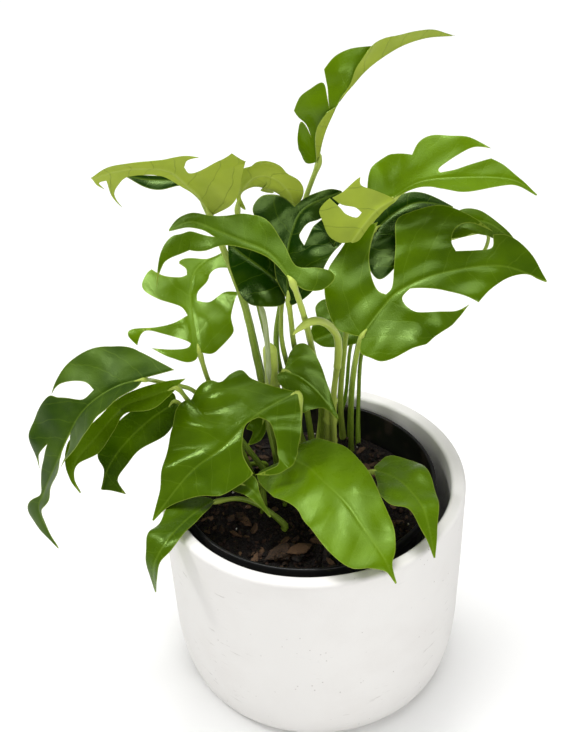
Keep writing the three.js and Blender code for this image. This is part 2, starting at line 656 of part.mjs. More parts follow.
const STALKS = [
  {
    name: "stem_left",
    radius: 4.5,
    route: [[-23, 37, 220], [-22, 36, 186], [-17, 34, 147], [-14, 36, 122]],
  },
  { name: "stem_right", radius: 4, route: [[14, 46, 172], [13, 48, 151], [13, 54, 122]] },
  {
    name: "petiole_top",
    radius: 2,
    route: [
      [9, 58.5, 331], [2, 64, 305], [-8, 62, 268], [-15, 54, 239], [-19, 46, 213],
      [-14, 48, 172], [-5, 60, 122],
    ],
  },
  {
    name: "petiole_upper_right",
    radius: 2,
    route: [
      [50.5, 44, 314.5], [47, 44, 311], [39, 47, 297], [34, 50, 281], [29, 48, 251],
      [24, 47, 218], [20, 55, 165], [21, 68, 122],
    ],
  },
  {
    name: "petiole_right",
    radius: 1.9,
    route: [[30.5, -10.5, 256], [28, 0, 232], [26, 26, 183], [26, 53, 122]],
  },
  {
    name: "petiole_behind_right",
    radius: 1.5,
    route: [[42, 53, 286], [40, 62, 261], [35, 70, 212], [28, 72, 164], [26, 70, 122]],
  },
  {
    name: "petiole_far_right",
    radius: 1.5,
    route: [
      [87.5, 46, 287], [110, 62, 279], [107, 62, 262], [89, 62, 251], [61, 64, 243],
      [46, 70, 218], [35, 72, 187], [32, 70, 149], [31, 62, 122],
    ],
  },
  {
    name: "petiole_low_right",
    radius: 1.5,
    route: [[31.5, 66.5, 210.5], [27, 70, 189], [23, 68, 151], [14, 71, 122]],
  },
  {
    name: "petiole_upper_left",
    radius: 2.4,
    route: [
      [-52.5, 49.5, 304], [-49, 60, 279], [-38, 56, 239], [-32, 46, 206], [-28, 38, 181],
      [-21, 34, 122],
    ],
  },
  {
    name: "petiole_upper_left_back",
    radius: 1.4,
    route: [
      [-61.5, 59, 319], [-57, 66, 299], [-47, 70, 264], [-37, 66, 232], [-29, 58, 185],
      [-19, 54, 122],
    ],
  },
  {
    name: "petiole_arching",
    radius: 1.8,
    route: [
      [-38, 60.5, 302.5], [-38, 66, 278], [-32, 62, 251], [-26, 54, 219], [-19, 56, 166],
      [-12, 56, 122],
    ],
  },
  {
    name: "petiole_centre_left",
    radius: 2.2,
    route: [[-5.5, -2, 289], [-1, 22, 250], [3, 50, 205], [8, 60, 158], [6, 63, 122]],
  },
  {
    name: "petiole_centre_left_back",
    radius: 1.8,
    route: [[-13.5, 31, 265], [-15, 38, 241], [-15, 40, 217], [-9, 42, 177], [-5, 45, 122]],
  },
  {
    name: "petiole_centre_back",
    radius: 2,
    route: [[-10, 17.5, 264], [-9, 28, 243], [-8, 45, 213], [-3, 50, 170], [1, 57, 122]],
  },
  {
    name: "petiole_left",
    radius: 1.9,
    route: [[-65.5, 36, 213.5], [-61, 38, 190], [-48, 36, 155], [-28, 29, 122]],
  },
  {
    name: "petiole_far_left",
    radius: 1.7,
    route: [
      [-98, 12.5, 216], [-95, 24, 206], [-87, 32, 197], [-79, 33, 194], [-69, 32, 188],
      [-49, 20, 168], [-36, 22, 122],
    ],
  },
  {
    name: "petiole_far_left_under",
    radius: 1.7,
    route: [[-79, 17.5, 203], [-74, 26, 187], [-59, 16, 173], [-44, 6, 151], [-40, 8, 122]],
  },
  {
    name: "petiole_far_left_low",
    radius: 1.6,
    route: [[-80.5, 30.5, 181], [-67, 34, 156], [-47, 30, 134], [-31, 41, 122]],
  },
  {
    name: "petiole_front_left",
    radius: 2.1,
    route: [[-6.5, 5.5, 200.5], [-6, 3, 195], [-8, 8, 168], [-11, 20, 122]],
  },
  {
    name: "petiole_front",
    radius: 2,
    route: [[-14.5, -5.5, 163], [-21, 0, 151], [-30, 2, 142], [-31, -2, 122]],
  },
  {
    name: "petiole_front_right",
    radius: 1.7,
    route: [[36, -12, 158], [28, -5, 150], [19, 10, 136], [14, 19, 122]],
  },
  {
    name: "petiole_low_left",
    radius: 1.9,
    route: [[-57, -20, 146], [-45, -15, 142], [-31, -16, 135], [-19, -17, 122]],
  },
  {
    name: "petiole_small_centre",
    radius: 1.5,
    route: [[-14.5, 29.5, 201.5], [-14, 27, 189], [-11, 24, 163], [-4, 27, 122]],
  },
  {
    name: "petiole_small_low",
    radius: 1.3,
    route: [[-42.5, -17.5, 158], [-37, -9, 152], [-28, -3, 138], [-18, 5, 122]],
  },
  {
    name: "petiole_small_inner",
    radius: 1.2,
    route: [[-27.5, 15, 177], [-26, 14, 172], [-23, 12, 153], [-19, 17, 122]],
  },
  {
    name: "sheath_curled",
    radius: 1.6,
    colour: "papery",
    route: [
      [-8, 12, 245], [-4, 14, 248], [4, 18, 250], [12, 26, 242], [18, 33, 228], [19, 36, 215],
      [18, 38, 200],
    ],
  },
  {
    name: "sheath_left",
    radius: 1.7,
    colour: "papery",
    route: [[-28, 28, 260], [-25, 27, 247], [-24, 28, 226], [-24, 28, 197]],
  },
  {
    name: "sheath_right",
    radius: 1.5,
    colour: "papery",
    route: [[17, 39, 193], [15, 39, 172], [15, 42, 141]],
  },
];

const TUBE_SIDES = 6;
const TUBE_STEP = 18; // length of one straight piece of a tube, about

function tube(route, radius) {
  const curve = new THREE.CatmullRomCurve3(route.map((point) => new THREE.Vector3(...point)));
  const section = new THREE.Shape(
    Array.from({ length: TUBE_SIDES }, (_, i) => {
      const angle = (i * 2 * Math.PI) / TUBE_SIDES;
      return new THREE.Vector2(radius * Math.cos(angle), radius * Math.sin(angle));
    }),
  );
  const steps = Math.max(4, Math.round(curve.getLength() / TUBE_STEP));
  return new THREE.ExtrudeGeometry(section, { steps, extrudePath: curve });
}

// ---- assembly

add("cover_pot", coverPot(), COLOURS.mineral, 0.7);
const nursery = new THREE.Group();
nursery.position.set(NURSERY_X, NURSERY_Y, 0);
plant.add(nursery);
nursery.add(add("nursery_pot", nurseryPot(), COLOURS.plastic, 0.4));
nursery.add(add("potting_mix", pottingMix(), COLOURS.mix, 0.95));
CHIPS.forEach(barkChip);
for (const leaf of LEAVES) add(leaf.name, leafGeometry(leaf), COLOURS[leaf.green], 0.35);
for (const { name, radius, route, colour = "stalk" } of STALKS) {
  add(name, tube(route, radius), COLOURS[colour], 0.45);
}

export default plant;
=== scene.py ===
import math

import bpy
import numpy as np
from mathutils import Matrix
from mathutils.geometry import delaunay_2d_cdt


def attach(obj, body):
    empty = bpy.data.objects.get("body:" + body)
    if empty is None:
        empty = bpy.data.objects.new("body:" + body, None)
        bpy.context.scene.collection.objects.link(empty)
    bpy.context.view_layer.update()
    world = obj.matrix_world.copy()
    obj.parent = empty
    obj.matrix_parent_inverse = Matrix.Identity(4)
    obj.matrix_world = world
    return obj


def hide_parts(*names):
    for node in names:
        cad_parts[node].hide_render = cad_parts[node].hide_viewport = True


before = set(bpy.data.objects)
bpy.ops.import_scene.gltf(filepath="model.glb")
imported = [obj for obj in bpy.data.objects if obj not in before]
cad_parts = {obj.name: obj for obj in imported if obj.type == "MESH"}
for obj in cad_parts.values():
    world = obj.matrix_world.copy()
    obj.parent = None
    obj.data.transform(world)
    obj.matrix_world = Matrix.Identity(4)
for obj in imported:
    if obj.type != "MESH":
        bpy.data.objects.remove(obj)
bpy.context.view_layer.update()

# Potted mini monstera. Lengths in the dictionaries are millimetres, except in the stage's and the
# camera's; +Z up, front -Y; makePiece turns them into metres.
mm = 0.001


def linear(hexColour):
    # sRGB hex to linear RGBA
    parts = np.array([int(hexColour[i:i + 2], 16) for i in (1, 3, 5)]) / 255
    parts = np.where(parts <= 0.04045, parts / 12.92, ((parts + 0.055) / 1.055) ** 2.4)
    return (*parts.tolist(), 1.0)


def addNode(tree, kind, sockets, **settings):
    # adds a node with its settings; sockets gives each input a value or the output that feeds it,
    # and the node's first output in use comes back
    node = tree.nodes.new(kind)
    for name, value in settings.items():
        setattr(node, name, value)
    for name, value in sockets.items():
        if isinstance(value, bpy.types.NodeSocket):
            tree.links.new(value, node.inputs[name])
        else:
            node.inputs[name].default_value = value
    return next((socket for socket in node.outputs if socket.enabled), None)


def newMaterial(name, **shader):
    # an empty principled material; shader holds the sockets that are the same all over
    material = bpy.data.materials.new(name)
    material.use_nodes = True
    bsdf = material.node_tree.nodes["Principled BSDF"]
    for socket, value in shader.items():
        bsdf.inputs[socket.replace("_", " ")].default_value = value
    return material, material.node_tree, bsdf


def readings(tree, **wanted):
    # what a material works from: the place in metres, or an attribute of the mesh
    for name, output in wanted.items():
        if name == "place":
            addNode(tree, "ShaderNodeTexCoord", {})
        else:
            addNode(tree, "ShaderNodeAttribute", {}, attribute_name=name)
        yield tree.nodes[-1].outputs[output]


def cutNoise(tree, place, noise, cut, span=(0.0, 1.0), kind="SMOOTHSTEP"):
    # a noise, and its values between the two cuts stretched over the span
    noise = addNode(tree, "ShaderNodeTexNoise", {"Vector": place, **noise})
    return noise, addNode(tree, "ShaderNodeMapRange", {
        "Value": noise, "From Min": cut[0], "From Max": cut[1], "To Min": span[0],
        "To Max": span[1]}, interpolation_type=kind)


def dress(made, body, height=None, strength=0.0, distance=0.0):
    # gives a new material its colour and its bump, which is `distance` mm high at full strength
    material, tree, bsdf = made
    tree.links.new(body, bsdf.inputs["Base Color"])
    if height is not None:
        bump = addNode(tree, "ShaderNodeBump", {"Height": height, "Strength": strength,
                       "Distance": distance * mm})
        tree.links.new(bump, bsdf.inputs["Normal"])
    return material


def makePiece(name, points, faces, materials, slot, nodes, attributes=None, sharp=None,
              slots=None, smooth=True):
    # one closed mesh from whole arrays: points in mm, faces as a list of arrays; sharp holds the
    # vertices whose edges among themselves stay crisp
    mesh = bpy.data.meshes.new(name)
    loops = np.concatenate([block.ravel() for block in faces])
    sizes = np.concatenate([np.full(len(block), block.shape[1]) for block in faces])
    mesh.vertices.add(len(points))
    mesh.vertices.foreach_set("co", (np.asarray(points, dtype=np.float32) * mm).ravel())
    mesh.loops.add(len(loops))
    mesh.loops.foreach_set("vertex_index", loops.astype(np.int32))
    mesh.polygons.add(len(sizes))
    mesh.polygons.foreach_set("loop_start", (np.cumsum(sizes) - sizes).astype(np.int32))
    mesh.update(calc_edges=True)
    mesh.polygons.foreach_set("use_smooth", np.full(len(sizes), smooth))
    if slots is not None:
        mesh.polygons.foreach_set("material_index", np.asarray(slots, dtype=np.int32))
    for label, values in (attributes or {}).items():
        values = np.asarray(values, dtype=np.float32)
        kind, field = ("FLOAT", "value") if values.ndim == 1 else ("FLOAT_VECTOR", "vector")
        mesh.attributes.new(label, kind, "POINT").data.foreach_set(field, values.ravel())
    if sharp is not None:
        ends = np.empty(len(mesh.edges) * 2, dtype=np.int32)
        mesh.edges.foreach_get("vertices", ends)
        crisp = sharp[ends.reshape(-1, 2)].all(axis=1)
        mesh.attributes.new("sharp_edge", "BOOLEAN", "EDGE").data.foreach_set("value", crisp)
    mesh.validate()
    for material in materials:
        mesh.materials.append(material)
    piece = bpy.data.objects.new(name, mesh)
    bpy.context.scene.collection.objects.link(piece)
    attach(piece, "root")
    if nodes:
        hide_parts(*nodes)


def waves(place, size, count, seed):
    # gentle irregularity, about -1 to 1: a sum of plane sine waves of about `size` mm in random
    # directions, taken at the points `place` (any number of columns)
    draw = np.random.default_rng(seed)
    way = unit(draw.normal(size=(count, place.shape[-1])))
    pitch = 2 * np.pi / (size * draw.uniform(0.6, 1.6, count))
    phase = draw.uniform(0, 2 * np.pi, count)
    return np.sin(place @ (way * pitch[:, None]).T + phase).sum(axis=-1) / math.sqrt(count)


def through(points, perSpan, held=False):
    # Catmull-Rom curve through the points, perSpan steps from each to the next; a held curve
    # repeats its end points, a free one runs on past them
    p = np.asarray(points, dtype=float)
    first, last = (p[0], p[-1]) if held else (2 * p[0] - p[1], 2 * p[-1] - p[-2])
    q = np.vstack([first, p, last])
    t = (np.arange(perSpan) / perSpan)[None, :, None]
    a, b, c, d = (q[i:len(q) - 3 + i][:, None, :] for i in range(4))
    run = 0.5 * (2 * b + (c - a) * t + (2 * a - 5 * b + 4 * c - d) * t**2
                 + (3 * b - a - 3 * c + d) * t**3)
    return np.vstack([run.reshape(-1, p.shape[1]), p[-1:]])


def farAlong(line):
    # how far along the line each of its points is
    return np.r_[0, np.cumsum(np.linalg.norm(np.diff(line, axis=0), axis=1))]


def blend(at, known, rows):
    # the rows, known at some values, between them at the values `at`
    return np.stack([np.interp(at, known, rows[:, k]) for k in range(rows.shape[1])], axis=-1)


def evenly(line, step):
    # the same line with points about `step` mm apart
    far = farAlong(line)
    count = max(2, int(round(far[-1] / step)) + 1)
    return blend(np.linspace(0, far[-1], count), far, line)


def unit(vectors):
    return vectors / np.linalg.norm(vectors, axis=-1, keepdims=True)


def quarter(radius, z, wide, high, start, end, count):
    # points of a quarter ellipse about (radius, z), between two angles in degrees
    turn = np.radians(np.linspace(start, end, count))
    return np.stack([radius + wide * np.cos(turn), z + high * np.sin(turn)], axis=-1)


def turned(profile, turns, centre=(0, 0), reshape=None):
    # surface of revolution: (r cos a, r sin a, z) for each profile point (r, z) and angle a, with a
    # single point on the axis at either end; reshape moves the grid before it is closed
    rows = profile[1:-1]
    angle = np.linspace(0, 2 * np.pi, turns, endpoint=False)
    grid = np.stack([
        rows[:, :1] * np.cos(angle) + centre[0],
        rows[:, :1] * np.sin(angle) + centre[1],
        np.repeat(rows[:, 1:], turns, axis=1),
    ], axis=-1)
    if reshape is not None:
        grid = reshape(grid)
    ends = [[*centre, profile[0, 1]], [*centre, grid[-1, :, 2].mean()]]
    return np.vstack([grid.reshape(-1, 3), ends]), turnedFaces(len(rows), turns)


def turnedFaces(count, turns):
    # quads between the rings, and a fan to the axis at either end
    i, j = np.meshgrid(np.arange(count - 1), np.arange(turns), indexing="ij")
    k = (j + 1) % turns
    quads = np.stack([i * turns + j, i * turns + k, (i + 1) * turns + k, (i + 1) * turns + j], -1)
    a = np.arange(turns)
    b = (a + 1) % turns
    low = count * turns
    lastRow = low - turns
    fans = np.vstack([
        np.stack([np.full(turns, low), b, a], -1),
        np.stack([np.full(turns, low + 1), lastRow + a, lastRow + b], -1),
    ])
    return [quads.reshape(-1, 4), fans]


# cover pot: mineral composite, cast in a mould and lightly sanded
coverPot = {
    "height": 143, "rimRadius": 95, "wall": 9, "cornerHeight": 52, "cornerRadius": 91,
    "baseRadius": 78, "floor": 12, "edge": 2.5, "innerCorner": 13,
    "handMadeWobble": 0.22, "colour": "#eceae7", "dustColour": "#cfc8c2", "scuffColour": "#a9a39d",
}


def castMineral(look):
    # matt and chalky, with cloudy patches, hairline scuffs, pinholes and a sanded grain
    made = newMaterial("cast mineral composite, sanded", IOR=1.5, Roughness=0.72,
                       Specular_IOR_Level=0.35)
    tree = made[1]
    place, = readings(tree, place="Object")
    clouds, cloudy = cutNoise(tree, place, {"Scale": 28.0, "Detail": 5.0}, (0.45, 0.75), (0, 0.12))
    body = addNode(tree, "ShaderNodeMix", {0: cloudy, 6: linear(look["colour"]),
                   7: linear(look["dustColour"])}, data_type="RGBA")
    # scuffs: short thin marks, a noise pulled out to 10 mm by 2 mm and cut off high; pinholes:
    # cells of 5 mm, each with one dot of about 0.5 mm; both only here and there
    pulled = addNode(tree, "ShaderNodeMapping", {"Vector": place, "Scale": (90, 90, 420),
                     "Rotation": (0.5, 0.35, 0.0)})
    _, scuff = cutNoise(tree, pulled, {"Scale": 1.0, "Detail": 3.0}, (0.62, 0.74))
    _, worn = cutNoise(tree, place, {"Scale": 22.0, "Detail": 2.0}, (0.55, 0.68), (0, 0.55))
    cells = addNode(tree, "ShaderNodeTexVoronoi", {"Vector": place, "Scale": 200.0})
    hole = addNode(tree, "ShaderNodeMapRange", {"Value": cells, "From Min": 0.05, "From Max": 0.14,
                   "To Min": 1.0, "To Max": 0.0}, interpolation_type="SMOOTHSTEP")
    _, pitted = cutNoise(tree, place, {"Scale": 70.0, "Detail": 1.0}, (0.56, 0.66), (0, 0.6))
    for mark, where in ((scuff, worn), (hole, pitted)):
        seen = addNode(tree, "ShaderNodeMath", {0: mark, 1: where}, operation="MULTIPLY")
        body = addNode(tree, "ShaderNodeMix", {0: seen, 6: body, 7: linear(look["scuffColour"])},
                       data_type="RGBA")
    # sanded grain of about 0.8 mm over the clouds, less the pinholes, which were seen last
    grain = addNode(tree, "ShaderNodeTexNoise", {"Vector": place, "Scale": 1200.0, "Detail": 2.0})
    height = addNode(tree, "ShaderNodeMath", {0: clouds, 1: 4.0, 2: grain},
                     operation="MULTIPLY_ADD")
    height = addNode(tree, "ShaderNodeMath", {0: height, 1: seen}, operation="SUBTRACT")
    return dress(made, body, height, 0.12, 0.6)


def buildCoverPot(look):
    edge, corner, base = look["edge"], look["cornerHeight"], look["baseRadius"]
    rim = look["height"] - edge
    inner, innerFoot = look["rimRadius"] - look["wall"], base - look["wall"]
    outerWall = evenly(np.array([[look["cornerRadius"], corner], [look["rimRadius"], rim]]), 4)
    innerWall = evenly(np.array([[inner, rim], [innerFoot + look["innerCorner"], corner]]), 4)
    profile = np.vstack([
        [[0, 0], [base * 0.5, 0], [base - 5, 0]],
        quarter(base, corner, look["cornerRadius"] - base, corner, -90, 0, 22),
        outerWall[1:],
        quarter(look["rimRadius"] - edge, rim, edge, edge, 0, 90, 7)[1:],
        quarter(inner + edge, rim, edge, edge, 90, 180, 7),
        innerWall[1:],
        quarter(innerFoot, corner, look["innerCorner"], corner - look["floor"], 0, -90, 12)[1:],
        [[innerFoot * 0.5, look["floor"]], [0, look["floor"]]],
    ])

    def wobble(grid):
        # the wall leaves true round by a fraction of a millimetre, and the flat base stays flat
        lean = np.clip(grid[..., 2:] / 12, 0, 1) * look["handMadeWobble"]
        off = np.maximum(np.linalg.norm(grid[..., :2], axis=-1), 1)[..., None]
        return grid + grid * (1, 1, 0) / off * (waves(grid, 60, 7, 1)[..., None] - 0.5) * lean

    points, faces = turned(profile, 224, reshape=wobble)
    makePiece("cover_pot_cast", points, faces, [castMineral(look)], "cover_pot", ["cover_pot"])


buildCoverPot(coverPot)
print("cover pot made")

# nursery pot: black polypropylene, injection moulded
nurseryPot = {
    "centre": (-3, 4), "rimZ": 138, "rimRadius": 80, "topRadius": 77.5, "baseRadius": 62,
    "wall": 1.4, "band": 6, "stepDepth": 12, "coverFloor": 12.35, "floor": 2,
    "colour": "#0c0c0c", "dustColour": "#3a2c22",
}


def mouldedPlastic(look):
    # black with a dull shine and a film of dried mix that catches the light in streaks
    made = newMaterial("moulded black polypropylene", IOR=1.49, Specular_IOR_Level=0.25)
    _, tree, bsdf = made
    place, = readings(tree, place="Object")
    _, film = cutNoise(tree, place, {"Scale": 90.0, "Detail": 6.0}, (0.52, 0.75), (0, 0.5))
    body = addNode(tree, "ShaderNodeMix", {0: film, 6: linear(look["colour"]),
                   7: linear(look["dustColour"])}, data_type="RGBA")
    rough = addNode(tree, "ShaderNodeMapRange", {"Value": film, "From Max": 0.5, "To Min": 0.34,
                    "To Max": 0.75})
    tree.links.new(rough, bsdf.inputs["Roughness"])
    grain = addNode(tree, "ShaderNodeTexNoise", {"Vector": place, "Scale": 1500.0})
    return dress(made, body, grain, 0.1, 0.3)


def buildNurseryPot(look):
    # a thin shell: foot, sloping wall, thicker rim band, and two small steps inside below the rim
    rim, base, low, top = look["rimZ"], look["baseRadius"], look["coverFloor"], look["rimRadius"]
    inside, innerBase = look["topRadius"] - look["wall"], base - look["wall"]
    band, step, floor = rim - look["band"], rim - look["stepDepth"], low + look["floor"]
    corners = np.array([
        [0, low], [base * 0.5, low], [base - 1, low], [base, low + 1],
        [look["topRadius"], band - 1], [top - 0.3, band], [top, band + 0.5], [top, rim - 0.6],
        [top - 0.6, rim], [inside + 2.0, rim], [inside + 1.4, rim - 0.6], [inside + 1.4, band],
        [inside + 0.7, band - 0.7], [inside + 0.5, step], [inside - 0.6, step - 0.8],
        [innerBase, floor + 1], [innerBase - 1, floor], [base * 0.5, floor], [0, floor],
    ])
    points, faces = turned(corners, 192, look["centre"])
    makePiece("nursery_pot_moulded", points, faces, [mouldedPlastic(look)], "nursery_pot",
              ["nursery_pot"])


buildNurseryPot(nurseryPot)
print("nursery pot made")

# potting mix: damp peat with bark chips, crumbs and perlite, each spread over a disc of its own
pottingMix = {
    "centre": (-3, 4), "bottom": 14.7, "footRadius": 59.3, "topRadius": 72.9, "top": 119.6,
    "colour": "#120c09", "lumpColour": "#2a1c14",
}
looseBits = {
    "barkChips": {"count": 240, "length": (3, 10), "wide": 0.5, "thick": 0.25, "sink": 0.15},
    "bigChips": {"length": (13, 20), "wide": 0.55, "thick": 0.22, "sink": 0.1},
    "crumbs": {"count": 900, "length": (1.2, 3.6), "wide": 0.8, "thick": 0.6, "sink": 0.2},
    "perlite": {"count": 30, "length": (0.8, 1.9), "wide": 0.85, "thick": 0.7, "sink": 0.1},
}


def mixHeight(x, y):
    # height of the mix at any place: low swells of 22 mm, lumps of 7 mm and crumbs of 2.6 mm,
    # levelled off towards the wall
    place = np.stack([x, y], axis=-1)
    off = np.hypot(x - pottingMix["centre"][0], y - pottingMix["centre"][1])
    level = np.clip((pottingMix["topRadius"] - off) / 8, 0, 1)
    lumps = (0.9 * waves(place, 22, 6, 3) + 0.75 * waves(place, 7, 12, 4)
             + 0.45 * waves(place, 2.6, 18, 5))
    return pottingMix["top"] - 0.4 + lumps * (0.35 + 0.65 * level) - 1.2 * (1 - level)


def dampPeat(look):
    # nearly black, rough, with browner dry lumps and a faint wet glint here and there
    made = newMaterial("damp peat and bark mix", IOR=1.4, Specular_IOR_Level=0.4)
    _, tree, bsdf = made
    place, = readings(tree, place="Object")
    lump, dry = cutNoise(tree, place, {"Scale": 260.0, "Detail": 8.0, "Roughness": 0.7},
                         (0.45, 0.72))
    body = addNode(tree, "ShaderNodeMix", {0: dry, 6: linear(look["colour"]),
                   7: linear(look["lumpColour"])}, data_type="RGBA")
    _, damp = cutNoise(tree, place, {"Scale": 500.0, "Detail": 3.0}, (0.35, 0.6), (0.45, 0.95),
                       "LINEAR")
    tree.links.new(damp, bsdf.inputs["Roughness"])
    crumb = addNode(tree, "ShaderNodeTexVoronoi", {"Vector": place, "Scale": 900.0})
    height = addNode(tree, "ShaderNodeMath", {0: lump, 1: 2.5, 2: crumb}, operation="MULTIPLY_ADD")
    return dress(made, body, height, 0.8, 1.2)


def barkOrStone(name, dark, light, rough, grain):
    # each piece takes its own shade between dark and light from the attribute "shade", and is
    # streaked and pitted at the size of its grain in mm
    made = newMaterial(name, IOR=1.45, Specular_IOR_Level=0.35)
    _, tree, bsdf = made
    place, shade = readings(tree, place="Object", shade="Fac")
    streak, coarse = cutNoise(tree, place, {"Scale": 1 / mm / grain, "Detail": 5.0,
                              "Distortion": 2.5}, (0, 1), (rough - 0.2, rough + 0.15), "LINEAR")
    amount = addNode(tree, "ShaderNodeMath", {0: streak, 1: 1.8, 2: -0.9}, operation="MULTIPLY_ADD")
    amount = addNode(tree, "ShaderNodeMath", {0: amount, 1: shade}, operation="ADD", use_clamp=True)
    body = addNode(tree, "ShaderNodeMix", {0: amount, 6: linear(dark), 7: linear(light)},
                   data_type="RGBA")
    tree.links.new(coarse, bsdf.inputs["Roughness"])
    return dress(made, body, streak, 0.5, 0.6)


def scatter(name, look, material, slot, nodes, places, seed, rings=4, turns=7, tilt=0.5):
    # one blocky pebble, copied to every place: each copy has its own proportions, dents, turn and
    # tilt, as one array of copies by points by axes; it lies on the mix, and its faces stay flat
    draw = np.random.default_rng(seed)
    count = len(places)
    up = np.linspace(-np.pi / 2, np.pi / 2, rings + 2)
    flat = np.sign(np.cos(up)) * np.abs(np.cos(up)) ** 0.5
    shape, faces = turned(np.stack([flat, np.sin(up)], -1), turns)
    dent = 1 + draw.uniform(-0.42, 0.3, (count, len(shape), 1))
    length = draw.uniform(*look["length"], count)[:, None]
    size = np.hstack([length, length * look["wide"] * draw.uniform(0.7, 1.3, (count, 1)),
                      length * look["thick"] * draw.uniform(0.6, 1.4, (count, 1))]) / 2
    copies = shape[None] * dent * size[:, None, :]
    turn, lean = draw.uniform(0, 2 * np.pi, count), draw.normal(0, tilt, count)
    for angle, axis in ((turn, 2), (lean, 0), (draw.uniform(0, 2 * np.pi, count), 2)):
        copies = turnAbout(copies, angle, axis)
    ground = mixHeight(places[:, 0], places[:, 1]) + size[:, 2] * (1 - 2 * look["sink"])
    copies += np.column_stack([places, ground])[:, None, :]
    shift = (np.arange(count) * len(shape))[:, None, None]
    faces = [(block[None] + shift).reshape(-1, block.shape[1]) for block in faces]
    shade = np.repeat(draw.uniform(-0.3, 1, count), len(shape))
    makePiece(name, copies.reshape(-1, 3), faces, [material], slot, nodes,
              attributes={"shade": shade}, smooth=False)


def turnAbout(copies, angle, axis):
    # turns each copy by its own angle about one axis
    a, b = [k for k in range(3) if k != axis]
    c, s = np.cos(angle)[:, None], np.sin(angle)[:, None]
    moved = copies.copy()
    moved[..., a] = copies[..., a] * c - copies[..., b] * s
    moved[..., b] = copies[..., a] * s + copies[..., b] * c
    return moved


def inDisc(count, radius, seed, centre=pottingMix["centre"]):
    draw = np.random.default_rng(seed)
    off, angle = radius * np.sqrt(draw.uniform(0, 1, count)), draw.uniform(0, 2 * np.pi, count)
    return np.stack([centre[0] + off * np.cos(angle), centre[1] + off * np.sin(angle)], axis=-1)


def buildMix(look):
    rows = np.linspace(0, look["topRadius"], 62)[1:]
    foot = [look["footRadius"], look["bottom"]]
    profile = np.vstack([
        [[0, look["bottom"]], foot],
        evenly(np.array([foot, [look["topRadius"], look["top"] - 2.5]]), 12)[1:],
        np.stack([rows[::-1], np.full(len(rows), look["top"])], axis=-1),
        [[0, look["top"]]],
    ])

    def lumpy(grid):
        onTop = grid[..., 2] >= look["top"] - 0.1
        grid[..., 2] = np.where(onTop, mixHeight(grid[..., 0], grid[..., 1]), grid[..., 2])
        return grid

    points, faces = turned(profile, 330, look["centre"], reshape=lumpy)
    makePiece("potting_mix_lumpy", points, faces, [dampPeat(look)], "potting_mix", ["potting_mix"])


buildMix(pottingMix)
bark = barkOrStone("weathered pine bark", "#0f0b07", "#5f4630", 0.75, 2.2)
stone = barkOrStone("expanded perlite", "#b9b3a6", "#f1efe8", 0.9, 0.8)
peat = barkOrStone("peat crumbs", "#0b0705", "#3a271c", 0.85, 1.0)
scatter("bark_chips", looseBits["barkChips"], bark, "bark", [],
        inDisc(looseBits["barkChips"]["count"], 68, 21), 22)
bigPlaces = np.vstack([
    inDisc(8, 17, 23, (-6, -47)), inDisc(4, 12, 24, (42, 30)), inDisc(4, 60, 25)])
scatter("bark_chips_big", looseBits["bigChips"], bark, "bark",
        ["bark_chip_1", "bark_chip_2", "bark_chip_3"], bigPlaces, 26, tilt=0.3)
scatter("peat_crumbs", looseBits["crumbs"], peat, "potting_mix", [],
        inDisc(looseBits["crumbs"]["count"], 71, 27), 28, rings=3, turns=5)
scatter("perlite_grains", looseBits["perlite"], stone, "bark", [],
        inDisc(looseBits["perlite"]["count"], 70, 29), 30, rings=3, turns=6)
print("potting mix and loose bits made")


